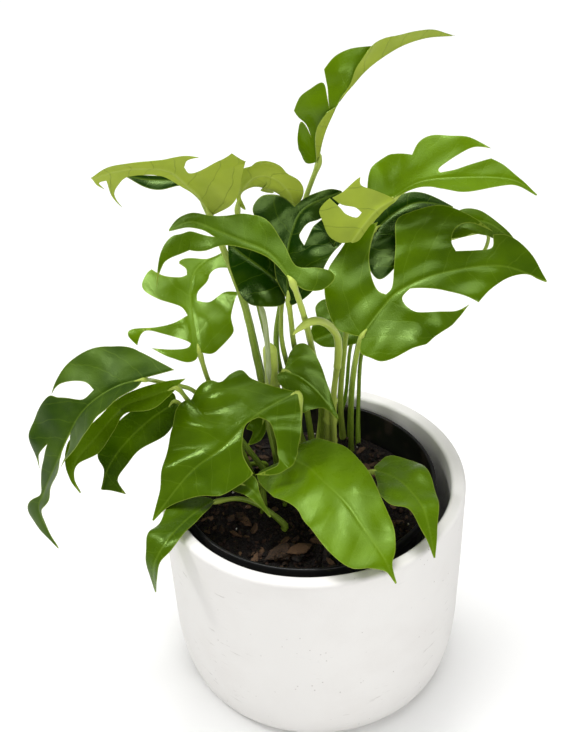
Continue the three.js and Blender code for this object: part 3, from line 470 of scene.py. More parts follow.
# the plant: one entry a leaf. The midrib runs from the petiole to the tip; face is the way the
# upper side looks, from base to tip; a lift pair is the rise in degrees beside the midrib and
# 50 mm out, first at the base and then at the tip; left and right are the margin as (along, out),
# with a third value 1 at a pointed lobe end or the inner end of a split
leafDefaults = {
    "thickness": 0.55, "ribDepth": 1.1, "veinPitch": 13, "quilting": 0.07, "unevenness": 0.95,
    "ruffle": 0.9, "satin": 0.24, "youth": 0.4,
}
leaves = {
    "top": {
        "slot": "leaf_bright", "youth": 0.72, "satin": 0.2,
        "midrib": [
            (10, 58, 334), (13, 55, 350), (18, 53, 365), (25, 54, 377), (39, 60, 391),
            (56, 70, 398), (73, 80, 399), (91, 90, 395),
        ],
        "face": [(-0.6, -0.75, 0.2), (-0.3, -0.55, 0.75)],
        "leftLift": [(10, 30), (40, 60)],
        "rightLift": [(103, 103), (97, 97)],
        "left": [
            (0, 0.5), (-4, 7), (3, 13, 1), (13, 15), (22, 15), (15, 7, 1), (21, 12), (24, 17),
            (27, 21, 1), (35, 21), (41, 18), (47, 14), (43, 8), (38, 3, 1), (46, 10), (53, 18, 1),
            (61, 18), (68, 15), (77, 9), (84, 5.5), (100, 3.5), (129, 0.5),
        ],
        "right": [
            (0, 0.5), (14, 4), (27, 8), (37, 5.5, 1), (41, 0.5), (46, 1.5, 1), (55, 2.5), (65, 9),
            (73, 15), (82, 13), (97, 9), (112, 6), (129, 0.5),
        ],
    },
    "upper_right": {
        "slot": "leaf_bright", "youth": 0.8, "satin": 0.22, "unevenness": 0.7,
        "midrib": [(53, 44, 317), (69, 48, 324), (92, 48, 326), (121, 47, 324), (136, 40, 317)],
        "face": [(-0.3, -0.45, 0.85), (0.25, -0.5, 0.8)],
        "leftLift": [(5, 10), (5, 10)],
        "rightLift": [(35, 35), (20, 10)],
        "left": [
            (0, 0.5), (-12, 6), (-10, 14), (-2, 24), (9, 25), (13, 23), (18, 18, 1), (22, 25),
            (28, 28), (37, 27), (48, 25), (59, 18, 1), (50, 19), (41, 15), (32, 9), (29, 6),
            (30, 4, 1), (38, 5), (47, 8), (59, 12, 1), (65, 9), (74, 3), (88, 0.5),
        ],
        "right": [
            (0, 0.5), (10, 3.5), (23, 7), (29, 10), (40, 15), (58, 9), (72, 4), (82, 2),
            (88, 0.5),
        ],
    },
    "curled": {
        "slot": "leaf_underside", "youth": 0.75,
        "midrib": [(53, 36, 321), (43, 30, 318), (34, 27, 308), (28, 26, 299)],
        "face": [(0.2, 0.95, -0.1), (0.2, 0.95, -0.2)],
        "leftLift": [(0, 0), (0, 0)],
        "rightLift": [(0, -10), (0, -10)],
        "left": [
            (0, 0.5), (7, 8), (11, 16), (10, 21, 1), (16, 21), (22, 24, 1), (22, 17), (19, 10),
            (19, 5.5, 1), (23, 6), (25, 12), (24, 17), (23, 25, 1), (30, 26), (34, 23), (41, 14),
            (41, 5.5), (37, 0.5),
        ],
        "right": [(0, 0.5), (2, 2), (13, 3.5), (22, 3), (33, 3), (37, 0.5)],
    },
    "right": {
        "slot": "leaf_deep", "youth": 0.42, "satin": 0.17, "unevenness": 0.7,
        "midrib": [
            (31, -12, 259), (43, 1, 268), (55, 10, 275), (79, 20, 279), (114, 27, 278),
            (142, 25, 267),
        ],
        "face": [(-0.2, -0.5, 0.84), (0.3, -0.5, 0.8)],
        "leftLift": [(6, 12), (6, 10)],
        "rightLift": [(0, -20), (0, -20)],
        "left": [
            (0, 0.5), (-2, 6), (-3, 16), (6, 28), (18, 38), (29, 41), (35, 44), (45, 42, 1),
            (37, 32), (32, 21), (28, 9), (29, 3.5, 1), (35, 5.5), (46, 23), (52, 38), (59, 41),
            (73, 40), (86, 32), (96, 21, 1), (86, 27), (78, 25), (74, 17), (75, 11, 1), (86, 10),
            (95, 11), (96, 19, 1), (103, 19), (116, 12), (129, 0.5),
        ],
        "right": [
            (0, 0.5), (-8, 5), (-8, 13), (-5, 20), (8, 28), (23, 34), (57, 32), (75, 22, 1),
            (64, 24), (45, 20), (34, 14), (34, 5), (42, 2, 1), (53, 7), (70, 15), (81, 22, 1),
            (91, 15), (103, 8), (116, 0.5), (124, 0.5), (129, 0.5),
        ],
    },
    "behind_right": {
        "slot": "leaf_dark", "youth": 0, "satin": 0.22,
        "midrib": [(42, 52, 289), (55, 62, 295), (70, 68, 298), (90, 68, 294)],
        "face": [(-0.1, -0.5, 0.86), (0.2, -0.5, 0.84)],
        "leftLift": [(0, 10), (0, 10)],
        "rightLift": [(0, -10), (0, -10)],
        "left": [(0, 0.5), (3, 6), (17, 9), (29, 8), (35, 7), (46, 4), (55, 0.5)],
        "right": [(0, 0.5), (-17, 12), (-20, 25), (-3, 25), (33, 19), (55, 0.5)],
    },
    "far_right": {
        "slot": "leaf_dark", "youth": 0.5,
        "midrib": [(85, 44, 288), (96, 53, 293), (109, 54, 291), (119, 49, 286), (128, 43, 279)],
        "face": [(0, -0.5, 0.86), (0.3, -0.5, 0.8)],
        "leftLift": [(0, 10), (0, 10)],
        "rightLift": [(10, 10), (10, 10)],
        "left": [(0, 0.5), (9, 5.5), (16, 8), (24, 7), (32, 4), (42, 3), (54, 0.5)],
        "right": [(0, 0.5), (2, 3.5), (10, 9), (29, 10), (46, 6), (54, 0.5)],
    },
    "low_right": {
        "slot": "leaf_dark", "youth": 0.3,
        "midrib": [(32, 66, 214), (20, 62, 211), (4, 59, 206)],
        "face": [(0, -0.5, 0.86), (-0.2, -0.5, 0.84)],
        "leftLift": [(0, 10), (0, 10)],
        "rightLift": [(0, -10), (0, -10)],
        "left": [(0, 0.5), (1, 12), (13, 12), (25, 7), (30, 0.5)],
        "right": [(0, 0.5), (4, 17), (13, 24), (21, 22), (23, 14, 1), (29, 7), (30, 0.5)],
    },
    "upper_left": {
        "slot": "leaf_underside", "youth": 0.8,
        "midrib": [
            (-53, 48, 307), (-59, 48, 321), (-65, 46, 330), (-74, 42, 342), (-88, 38, 347),
            (-103, 38, 346), (-119, 42, 339),
        ],
        "face": [(0.1, 0.9, 0.4), (0, 0.9, 0.4)],
        "leftLift": [(0, -10), (0, -10)],
        "rightLift": [(0, -30), (0, -30)],
        "left": [
            (0, 0.5), (2, 10), (7, 20), (17, 31), (25, 41), (34, 43), (38, 44, 1), (36, 32),
            (34, 18), (34, 7), (39, 8, 1), (41, 14), (40, 22, 1), (43, 17), (48, 8), (55, 5.5),
            (65, 5.5), (76, 4.5), (91, 0.5),
        ],
        "right": [
            (0, 0.5), (9, 1.5), (20, 3.5), (32, 5.5), (53, 8), (69, 7, 1), (77, 10), (87, 17),
            (89, 29, 1), (89, 17), (85, 6, 1), (90, 6), (90, 12, 1), (92, 7), (91, 0.5),
        ],
    },
    "upper_left_back": {
        "slot": "leaf_dark", "youth": 0, "satin": 0.2,
        "midrib": [(-62, 58, 322), (-73, 57, 326), (-88, 56, 328), (-101, 55, 332)],
        "face": [(0, -0.5, 0.86), (0, -0.5, 0.86)],
        "leftLift": [(0, -20), (0, -20)],
        "rightLift": [(10, 10), (10, 10)],
        "left": [(0, 0.5), (9, 2.5), (20, 6), (29, 5), (41, 0.5)],
        "right": [(0, 0.5), (6, 3), (18, 3), (30, 2.5), (41, 0.5)],
    },
    "arching": {
        "slot": "leaf_underside", "youth": 0.85,
        "midrib": [
            (-38, 60, 306), (-35, 56, 319), (-27, 52, 330), (-17, 50, 331), (-8, 52, 321),
            (-4, 56, 306),
        ],
        "face": [(0, 0.9, 0.4), (0.1, 0.9, 0.4)],
        "leftLift": [(0, 0), (0, 0)],
        "rightLift": [(0, -20), (0, -20)],
        "left": [(0, 0.5), (-3, 5.5), (9, 1), (19, 6), (30, 18), (62, 4.5), (69, 0.5)],
        "right": [
            (0, 0.5), (9, 2), (27, 10), (31, 9), (34, 14), (37, 14), (43, 8), (50, 10), (60, 7),
            (69, 0.5),
        ],
    },
    "centre_left": {
        "slot": "leaf_mid", "youth": 0.42, "satin": 0.28, "unevenness": 0.7,
        "midrib": [
            (-6, -4, 292), (-19, 11, 303), (-36, 19, 308), (-50, 26, 311), (-64, 34, 312),
            (-77, 34, 307),
        ],
        "face": [(0.2, -0.5, 0.84), (-0.4, -0.5, 0.77)],
        "leftLift": [(-5, -40), (-5, -55)],
        "rightLift": [(5, 5), (0, -20)],
        "left": [
            (0, 0.5), (12, 1.5), (27, 3), (41, 4), (50, 7), (65, 16), (92, 16), (100, 20),
            (107, 30, 1), (98, 12), (89, 4.5), (81, 5.5), (66, 5.5), (57, 4, 1), (64, 3),
            (75, 3.5), (89, 0.5),
        ],
        "right": [
            (0, 0.5), (-7, 3), (-12, 11), (-11, 20), (-6, 22), (1, 16), (9, 7), (22, 10),
            (34, 17), (47, 16), (57, 10), (67, 6), (76, 5.5), (83, 4.5), (89, 0.5),
        ],
    },
    "centre_left_back": {
        "slot": "leaf_dark", "youth": 0.05, "satin": 0.15,
        "midrib": [(-13, 30, 268), (-25, 40, 274), (-37, 49, 279), (-45, 57, 282)],
        "face": [(0, -0.55, 0.83), (-0.3, -0.55, 0.78)],
        "leftLift": [(0, -25), (0, -25)],
        "rightLift": [(0, 0), (0, 0)],
        "left": [(0, 0.5), (-8, 7), (-3, 15), (6, 21), (18, 20), (31, 12), (44, 0.5)],
        "right": [(0, 0.5), (9, 12), (22, 14), (38, 12), (44, 0.5)],
    },
    "centre_back": {
        "slot": "leaf_dark", "youth": 0.03, "satin": 0.22,
        "midrib": [(-10, 16, 267), (-10, 28, 287), (-6, 38, 301), (2, 46, 311), (24, 53, 317)],
        "face": [(-0.1, -0.85, 0.5), (0.1, -0.75, 0.65)],
        "leftLift": [(5, 15), (5, 15)],
        "rightLift": [(0, 10), (0, 0)],
        "left": [
            (0, 0.5), (12, 6), (28, 9), (39, 21), (45, 26), (49, 25), (51, 21), (53, 13),
            (53, 5, 1), (63, 5), (74, 4), (80, 0.5),
        ],
        "right": [
            (0, 0.5), (-3, 2.5), (5, 15), (19, 22), (52, 30), (74, 19), (71, 9, 1), (58, 11),
            (42, 10), (34, 9, 1), (39, 5), (44, 5.5), (61, 10), (76, 6), (80, 0.5),
        ],
    },
    "left": {
        "slot": "leaf_bright", "youth": 0.65, "satin": 0.18, "unevenness": 0.8,
        "midrib": [
            (-66, 36, 217), (-68, 46, 223), (-71, 67, 235), (-69, 81, 244), (-62, 88, 249),
            (-50, 93, 252),
        ],
        "face": [(-0.15, -0.55, 0.82), (-0.1, -0.45, 0.88)],
        "leftLift": [(0, -15), (0, -15)],
        "rightLift": [(0, 15), (0, 15)],
        "left": [
            (0, 0.5), (-4, 3), (-4, 9), (1, 17), (11, 29, 1), (7, 17), (5, 7), (7, 4, 1), (10, 7),
            (18, 19), (23, 31), (16, 38, 1), (23, 42), (26, 39), (24, 25), (24, 11), (26, 3, 1),
            (33, 7), (39, 21), (45, 32), (50, 31), (52, 28, 1), (50, 18), (50, 8), (52, 4, 1),
            (55, 6), (56, 12, 1), (58, 12), (66, 1), (78, 0.5),
        ],
        "right": [
            (0, 0.5), (-3, 7), (-1, 13), (7, 23), (19, 24), (36, 32, 1), (39, 22), (33, 12),
            (35, 4, 1), (41, 4.5), (51, 10), (70, 9), (78, 13, 1), (80, 6), (78, 0.5),
        ],
    },
    "far_left": {
        "slot": "leaf_deep", "youth": 0.2, "satin": 0.36, "unevenness": 0.7,
        "midrib": [
            (-99, 10, 218), (-113, 10, 214), (-126, 9, 207), (-138, 6, 197), (-147, 2, 183),
            (-157, -2, 163), (-166, -2, 143), (-171, -3, 127), (-161, -13, 104),
        ],
        "face": [(-0.2, -0.5, 0.84), (-0.45, -0.6, 0.65), (-0.6, -0.75, 0.3), (-0.5, -0.85, 0.1)],
        "leftLift": [(25, 35), (25, 35)],
        "rightLift": [(0, -20), (0, -20)],
        "left": [
            (0, 0.5), (4, 6), (15, 11), (32, 14), (49, 17), (80, 8, 1), (67, 7), (60, 0.5, 1),
            (75, 0.5), (85, 6), (100, 4.5), (112, 7), (137, 0), (151, 0.5),
        ],
        "right": [
            (0, 0.5), (-19, 0.5), (-20, 0.5), (-12, 8), (4, 22), (15, 28), (25, 32), (36, 34),
            (44, 31), (51, 27, 1), (45, 26), (34, 15), (31, 6, 1), (40, 6), (49, 20), (54, 29),
            (71, 31), (85, 27), (97, 10, 1), (90, 15), (77, 12, 1), (91, 10), (103, 5.5),
            (113, 2), (124, 10), (132, 8), (151, 0.5),
        ],
    },
    "far_left_under": {
        "slot": "leaf_mid", "youth": 0.6, "satin": 0.28,
        "midrib": [
            (-80, 16, 206), (-98, 15, 200), (-114, 15, 193), (-130, 8, 178), (-144, 3, 163),
            (-147, -2, 153), (-143, -8, 145),
        ],
        "face": [(-0.2, -0.5, 0.84), (-0.4, -0.65, 0.65), (-0.5, -0.8, 0.3)],
        "leftLift": [(0, 10), (0, 10)],
        "rightLift": [(10, 20), (10, 20)],
        "left": [
            (0, 0.5), (7, 4.5), (19, 8), (38, 4.5), (52, 7), (68, 8), (84, 1.5), (93, 0.5),
            (103, 0.5),
        ],
        "right": [
            (0, 0.5), (-7, 3.5, 1), (6, 6), (20, 7), (36, 6), (54, 7), (72, 11), (81, 9), (92, 3),
            (103, 0.5),
        ],
    },
    "far_left_low": {
        "slot": "leaf_dark", "youth": 0.25, "satin": 0.22,
        "midrib": [
            (-82, 30, 184), (-99, 25, 175), (-116, 19, 161), (-127, 12, 148), (-132, 6, 136),
        ],
        "face": [(-0.2, -0.6, 0.77), (-0.4, -0.75, 0.5)],
        "leftLift": [(0, -10), (0, -10)],
        "rightLift": [(0, 0), (0, 0)],
        "left": [
            (0, 0.5), (2, 8), (18, 14), (37, 10), (50, 10), (66, 9), (73, 17, 1), (74, 7),
            (76, 0.5),
        ],
        "right": [(0, 0.5), (0, 7), (17, 11), (39, 13), (58, 11), (64, 2), (76, 0.5)],
    },
    "front_left": {
        "slot": "leaf_deep", "youth": 0.42, "satin": 0.17, "unevenness": 1.1,
        "midrib": [
            (-7, 8, 205), (-24, 3, 199), (-37, -3, 193), (-52, -12, 182), (-70, -17, 170),
            (-81, -22, 160), (-98, -30, 140),
        ],
        "face": [(-0.1, -0.4, 0.9), (-0.3, -0.55, 0.77), (-0.45, -0.65, 0.6)],
        "leftLift": [(-5, -15), (0, -10)],
        "rightLift": [(0, -15), (0, -15)],
        "left": [
            (0, 0.5), (4, 14), (11, 28), (27, 38), (44, 37), (53, 26, 1), (47, 30), (40, 32),
            (29, 22), (24, 10), (28, 2, 1), (37, 0.5), (45, 6), (51, 13), (53, 25, 1), (60, 25),
            (76, 23), (93, 11), (107, 3), (120, 0.5),
        ],
        "right": [
            (0, 0.5), (13, 13), (19, 23), (21, 33), (26, 35), (32, 34), (39, 42), (67, 41),
            (77, 30), (88, 19), (106, 7), (120, 0.5),
        ],
    },
    "front": {
        "slot": "leaf_mid", "youth": 0.72, "satin": 0.26, "unevenness": 1,
        "midrib": [
            (-13, -7, 166), (-2, -22, 171), (7, -37, 172), (19, -54, 170), (29, -71, 164),
            (39, -86, 156), (43, -93, 150),
        ],
        "face": [(0, -0.4, 0.9), (0.2, -0.5, 0.85)],
        "leftLift": [(0, -15), (0, -20)],
        "rightLift": [(0, -10), (0, -15)],
        "left": [
            (0, 0.5), (-7, 5), (-6, 13), (1, 19), (14, 23), (25, 27), (47, 25), (64, 20),
            (83, 17), (97, 9), (103, 3.5), (108, 1.8), (115, 0.5),
        ],
        "right": [
            (0, 0.5), (-9, 10), (-10, 21), (19, 28), (40, 24), (52, 26), (79, 25), (94, 20),
            (101, 10), (106, 3), (109, 1.5), (115, 0.5),
        ],
    },
    "front_right": {
        "slot": "leaf_mid", "youth": 0.55, "satin": 0.26,
        "midrib": [(38, -14, 160), (49, -28, 166), (58, -44, 168), (65, -62, 166), (69, -82, 150)],
        "face": [(0.1, -0.4, 0.9), (0.5, -0.6, 0.6)],
        "leftLift": [(0, -20), (0, -30)],
        "rightLift": [(0, 0), (0, 0)],
        "left": [
            (0, 0.5), (-3, 3), (-3, 12), (7, 16), (18, 19), (29, 18), (48, 12), (67, 5.5),
            (83, 0.5),
        ],
        "right": [(0, 0.5), (23, 15), (43, 17), (51, 11), (58, 8), (71, 3.5), (83, 0.5)],
    },
    "low_left": {
        "slot": "leaf_deep", "youth": 0.35, "satin": 0.24,
        "midrib": [
            (-60, -21, 147), (-74, -37, 149), (-87, -55, 147), (-96, -63, 134), (-97, -63, 112),
        ],
        "face": [(-0.3, -0.4, 0.85), (-0.7, -0.7, 0.2)],
        "leftLift": [(0, 0), (0, 0)],
        "rightLift": [(0, -30), (0, -30)],
        "left": [(0, 0.5), (10, 4), (31, 7), (47, 6), (57, 3.5), (67, 3.5), (84, 0.5)],
        "right": [
            (0, 0.5), (4, 9), (13, 17), (21, 18), (33, 15), (48, 14), (58, 9), (69, 4), (84, 0.5),
        ],
    },
    "small_centre": {
        "slot": "leaf_mid", "youth": 0.45, "satin": 0.17,
        "midrib": [(-15, 30, 205), (-5, 28, 201), (6, 23, 192), (17, 15, 178)],
        "face": [(0.1, -0.75, 0.65), (0.3, -0.7, 0.65)],
        "leftLift": [(10, 20), (5, 10)],
        "rightLift": [(0, 0), (0, 0)],
        "left": [(0, 0.5), (0, 4.5), (0, 14), (6, 20), (11, 17), (17, 13), (27, 7), (46, 0.5)],
        "right": [(0, 0.5), (-3, 4.5), (3, 10), (18, 14), (28, 16), (31, 10), (36, 3), (46, 0.5)],
    },
    "small_low": {
        "slot": "leaf_mid", "youth": 0.45, "satin": 0.32,
        "midrib": [(-44, -20, 160), (-35, -30, 160), (-26, -37, 146)],
        "face": [(0.1, -0.5, 0.85), (0.1, -0.6, 0.8)],
        "leftLift": [(0, 0), (0, 0)],
        "rightLift": [(0, 0), (0, 0)],
        "left": [(0, 0.5), (0, 7), (8, 7), (17, 2), (32, 0.5)],
        "right": [(0, 0.5), (-2, 7), (11, 5.5), (22, 2.5), (32, 0.5)],
    },
    "small_inner": {
        "slot": "leaf_mid", "youth": 0.5,
        "midrib": [(-28, 16, 180), (-31, 9, 175), (-38, 3, 170)],
        "face": [(0, -0.6, 0.8), (0, -0.6, 0.8)],
        "leftLift": [(0, 0), (0, 0)],
        "rightLift": [(0, 0), (0, 0)],
        "left": [(0, 0.5), (7, 3), (14, 3.5), (20, 0.5)],
        "right": [(0, 0.5), (3, 7), (13, 8), (12, 3.5), (20, 0.5)],
    },
}


def bladePoints(leaf, place, up):
    # a blade point: go `along` the curved midrib, then sideways by `out` over an arc that leaves
    # the midrib at the first lift angle and has turned to the second one 50 mm out, then `up` off
    # the surface; beyond the midrib's ends the point runs straight on
    far = leaf["far"]
    at = np.clip(place[:, 0], 0, far[-1])

    def spread(rows):  # from base to tip
        return blend(at / far[-1], np.linspace(0, 1, len(rows)), np.asarray(rows, dtype=float))

    middle, forward = blend(at, far, leaf["line"]), unit(blend(at, far, leaf["heading"]))
    face = spread(leaf["face"])
    over = unit(face - (face * forward).sum(axis=1, keepdims=True) * forward)
    left = np.cross(over, forward)
    middle = middle + forward * (place[:, 0] - at)[:, None]
    lift = np.where(place[:, 1:] >= 0, spread(leaf["leftLift"]), spread(leaf["rightLift"]))
    start = np.radians(lift[:, 0])
    bend = np.radians(lift[:, 1] - lift[:, 0]) / 50
    bend = np.where(np.abs(bend) < 1e-6, 1e-6, bend)
    end = start + bend * np.abs(place[:, 1])
    aside = (np.sin(end) - np.sin(start)) / bend - up * np.sin(end)
    raised = (np.cos(start) - np.cos(end)) / bend + up * np.cos(end)
    side = np.where(place[:, 1] >= 0, 1.0, -1.0)
    return middle + left * (side * aside)[:, None] + over * raised[:, None]


def marginLine(side, sign, step):
    # the margin, smooth between its marked corners, as points about `step` mm apart
    runs = [[]]
    for point in side:
        runs[-1].append(point[:2])
        if len(point) > 2:
            runs.append([point[:2]])
    parts = [evenly(through(run, 12, held=True), step) for run in runs if len(run) > 1]
    return np.vstack([parts[0]] + [part[1:] for part in parts[1:]]) * (1, sign)


def inside(points, ring):
    # even-odd rule against every edge of the ring at once
    a, b = ring[None], np.roll(ring, -1, axis=0)[None]
    x, y = points[:, :1], points[:, 1:]
    spans = (a[..., 1] > y) != (b[..., 1] > y)
    rise = np.where(b[..., 1] == a[..., 1], 1e-9, b[..., 1] - a[..., 1])
    crossing = a[..., 0] + (y - a[..., 1]) * (b[..., 0] - a[..., 0]) / rise
    return (spans & (x < crossing)).sum(axis=1) % 2 == 1


def nearestTo(points, ring):
    # distance from each point to the nearest edge of the ring
    a = ring[None]
    edge = np.roll(ring, -1, axis=0)[None] - a
    share = ((points[:, None] - a) * edge).sum(-1) / np.maximum((edge**2).sum(-1), 1e-9)
    foot = a + edge * np.clip(share, 0, 1)[..., None]
    return np.linalg.norm(points[:, None] - foot, axis=-1).min(axis=1)


def relief(leaf, place, rim):
    # what lifts the blade off its smooth surface, in mm: a groove along the midrib, a shallow
    # valley at each side vein, a slow unevenness, and a wave that grows towards the margin; side
    # veins leave the midrib at about 60 degrees and curve towards the tip
    wide = np.abs(place[:, 1])
    pitch = leaf["veinPitch"]
    root = place[:, 0] - veinSlant * wide - veinCurve * wide**2
    off = np.abs((root / pitch + 0.5) % 1 - 0.5) * pitch
    fade = np.clip(wide / 5, 0, 1) * np.clip(rim / 4, 0, 1)
    groove = -0.32 * np.exp(-(wide / 1.2) ** 2)
    valley = -leaf["quilting"] * np.exp(-(off / 1.5) ** 2) * fade
    slow = leaf["unevenness"] * waves(place, 26, 6, leaf["seed"]) * np.clip(wide / 10, 0, 1)
    wave = leaf["ruffle"] * np.sin(2 * np.pi * place[:, 0] / 31 + leaf["seed"]) * (wide / 30) ** 2
    return groove + valley + slow + wave


def buildLeaf(name, leaf, materials):
    # triangulates the outline with points inside it in rows beside the midrib, closer together
    # near it, then bends that flat sheet; a second copy underneath and a rim close the blade
    leaf["line"] = line = through(leaf["midrib"], 40)
    leaf["far"] = farAlong(line)
    leaf["heading"] = heading = unit(np.gradient(line, axis=0))
    face = np.array(leaf["face"][0], dtype=float)
    leaf["overBase"] = unit(face - (face @ heading[0]) * heading[0])
    length = leaf["far"][-1]
    step = 0.9 if length < 60 else 1.25
    ring = np.vstack([marginLine(leaf["left"], 1, step), marginLine(leaf["right"], -1, step)[::-1]])
    ring = ring[np.linalg.norm(ring - np.roll(ring, 1, axis=0), axis=1) > 0.05]
    low, high = ring.min(axis=0), ring.max(axis=0)
    rows = np.r_[0, 0.8, 1.7, 2.8, np.arange(4.1, 80, 1.4)]
    rows = np.r_[-rows[:0:-1], rows]
    rows = rows[(rows > low[1]) & (rows < high[1])]
    u, v = np.meshgrid(np.arange(low[0], high[0], 1.5), rows, indexing="ij")
    u = u + (np.arange(len(rows)) % 2 * 0.75)[None]
    sheet = np.stack([u.ravel(), v.ravel()], axis=-1)
    sheet = sheet[inside(sheet, ring)]
    sheet = sheet[nearestTo(sheet, ring) > 0.55]
    made = delaunay_2d_cdt(np.vstack([ring, sheet]).tolist(), [], [list(range(len(ring)))], 1, 1e-4)
    place, faces = np.array(made[0]), np.array(made[2], dtype=np.int64)
    a, b, c = (place[faces[:, k]] for k in range(3))
    area = np.cross(b - a, c - a)
    faces, area = faces[np.abs(area) > 1e-7], area[np.abs(area) > 1e-7]
    faces = np.where(area[:, None] < 0, faces[:, ::-1], faces)
    rim = nearestTo(place, ring)

    wide = np.abs(place[:, 1])
    lie = relief(leaf, place, rim)
    thin = leaf["thickness"] * (0.45 + 0.55 * np.clip(rim / 1.2, 0, 1))
    taper = np.clip(1.15 - place[:, 0] / length, 0.12, 1)
    ridge = leaf["ribDepth"] * taper * np.clip(rim / 2, 0, 1)
    ridge = ridge * np.exp(-(wide / (0.9 + 0.6 * taper)) ** 2)
    top = bladePoints(leaf, place, lie + thin / 2)
    under = bladePoints(leaf, place, lie - thin / 2 - ridge)
    count = len(place)
    edges = np.vstack([faces[:, [0, 1]], faces[:, [1, 2]], faces[:, [2, 0]]])
    key = edges.min(axis=1) * count + edges.max(axis=1)
    _, first, seen = np.unique(key, return_index=True, return_counts=True)
    border = edges[first[seen == 1]]  # edges with a face on one side only
    band = np.stack([border[:, 1], border[:, 0], border[:, 0] + count, border[:, 1] + count], -1)
    onBorder = np.zeros(2 * count, dtype=bool)
    onBorder[np.r_[border.ravel(), border.ravel() + count]] = True
    attributes = {name: np.full(2 * count, leaf[name]) for name in ("youth", "satin", "veinPitch")}
    attributes["blade"] = np.tile(np.column_stack([place, rim]), (2, 1))
    makePiece(name, np.vstack([top, under]), [faces, faces[:, ::-1] + count, band], materials,
              leaf["slot"], [leaf["node"]], attributes, onBorder,
              np.r_[np.zeros(len(faces)), np.ones(len(faces)), np.zeros(len(band))])


leafLook = {
    "oldGreen": "#0a2800", "youngGreen": "#648500", "oldUnder": "#4f6810", "youngUnder": "#a6b736",
    "veinGreen": "#76922a", "rimGreen": "#a5b648",
}
veinSlant, veinCurve = 0.55, 0.006  # mm back a mm out from the midrib, and more the further out


def leafUpper(look):
    # a waxy cuticle: broad soft highlights, deep green that is yellower on young leaves, paler
    # midrib and side veins, a thin pale margin, and a fine cell grain
    made = newMaterial("living leaf, waxy upper side", IOR=1.45, Specular_IOR_Level=0.5,
                       Specular_Tint=(0.65, 1.0, 0.28, 1.0))
    _, tree, bsdf = made
    place, satin, body, vein, midrib, rim = leafParts(tree, look["oldGreen"], look["youngGreen"],
                                                      45.0, 0.13)
    shown = addNode(tree, "ShaderNodeMath", {0: vein, 1: 0.13}, operation="MULTIPLY")
    shown = addNode(tree, "ShaderNodeMath", {0: midrib, 1: 0.24, 2: shown},
                    operation="MULTIPLY_ADD", use_clamp=True)
    pale = addNode(tree, "ShaderNodeMapRange", {"Value": rim, "From Min": 0.1, "From Max": 0.5,
                   "To Min": 0.4, "To Max": 0.0}, interpolation_type="SMOOTHSTEP")
    for amount, colour in ((shown, "veinGreen"), (pale, "rimGreen")):
        body = addNode(tree, "ShaderNodeMix", {0: amount, 6: body, 7: linear(look[colour])},
                       data_type="RGBA")
    # a film of dried water drops, 8 mm across, that dulls the shine here and there
    _, film = cutNoise(tree, place, {"Scale": 120.0, "Detail": 5.0}, (0.35, 0.7), (-0.04, 0.1),
                       "LINEAR")
    rough = addNode(tree, "ShaderNodeMath", {0: satin, 1: film}, operation="ADD")
    tree.links.new(rough, bsdf.inputs["Roughness"])
    cells = addNode(tree, "ShaderNodeTexVoronoi", {"Vector": place, "Scale": 1400.0})
    height = addNode(tree, "ShaderNodeMath", {0: vein, 1: -0.5, 2: cells}, operation="MULTIPLY_ADD")
    return dress(made, body, height, 0.1, 0.5)


def leafUnder(look):
    # the pale matt underside, with a paler midrib and thin darker side veins
    made = newMaterial("living leaf, matt underside", IOR=1.42, Roughness=0.55,
                       Specular_IOR_Level=0.35)
    tree = made[1]
    _, _, body, vein, midrib, _ = leafParts(tree, look["oldUnder"], look["youngUnder"], 60.0, 0.12)
    for amount, share, colour in ((vein, 0.32, "oldUnder"), (midrib, 0.6, "rimGreen")):
        amount = addNode(tree, "ShaderNodeMath", {0: amount, 1: share}, operation="MULTIPLY")
        body = addNode(tree, "ShaderNodeMix", {0: amount, 6: body, 7: linear(look[colour])},
                       data_type="RGBA")
    return dress(made, body, vein, 0.4, 0.5)


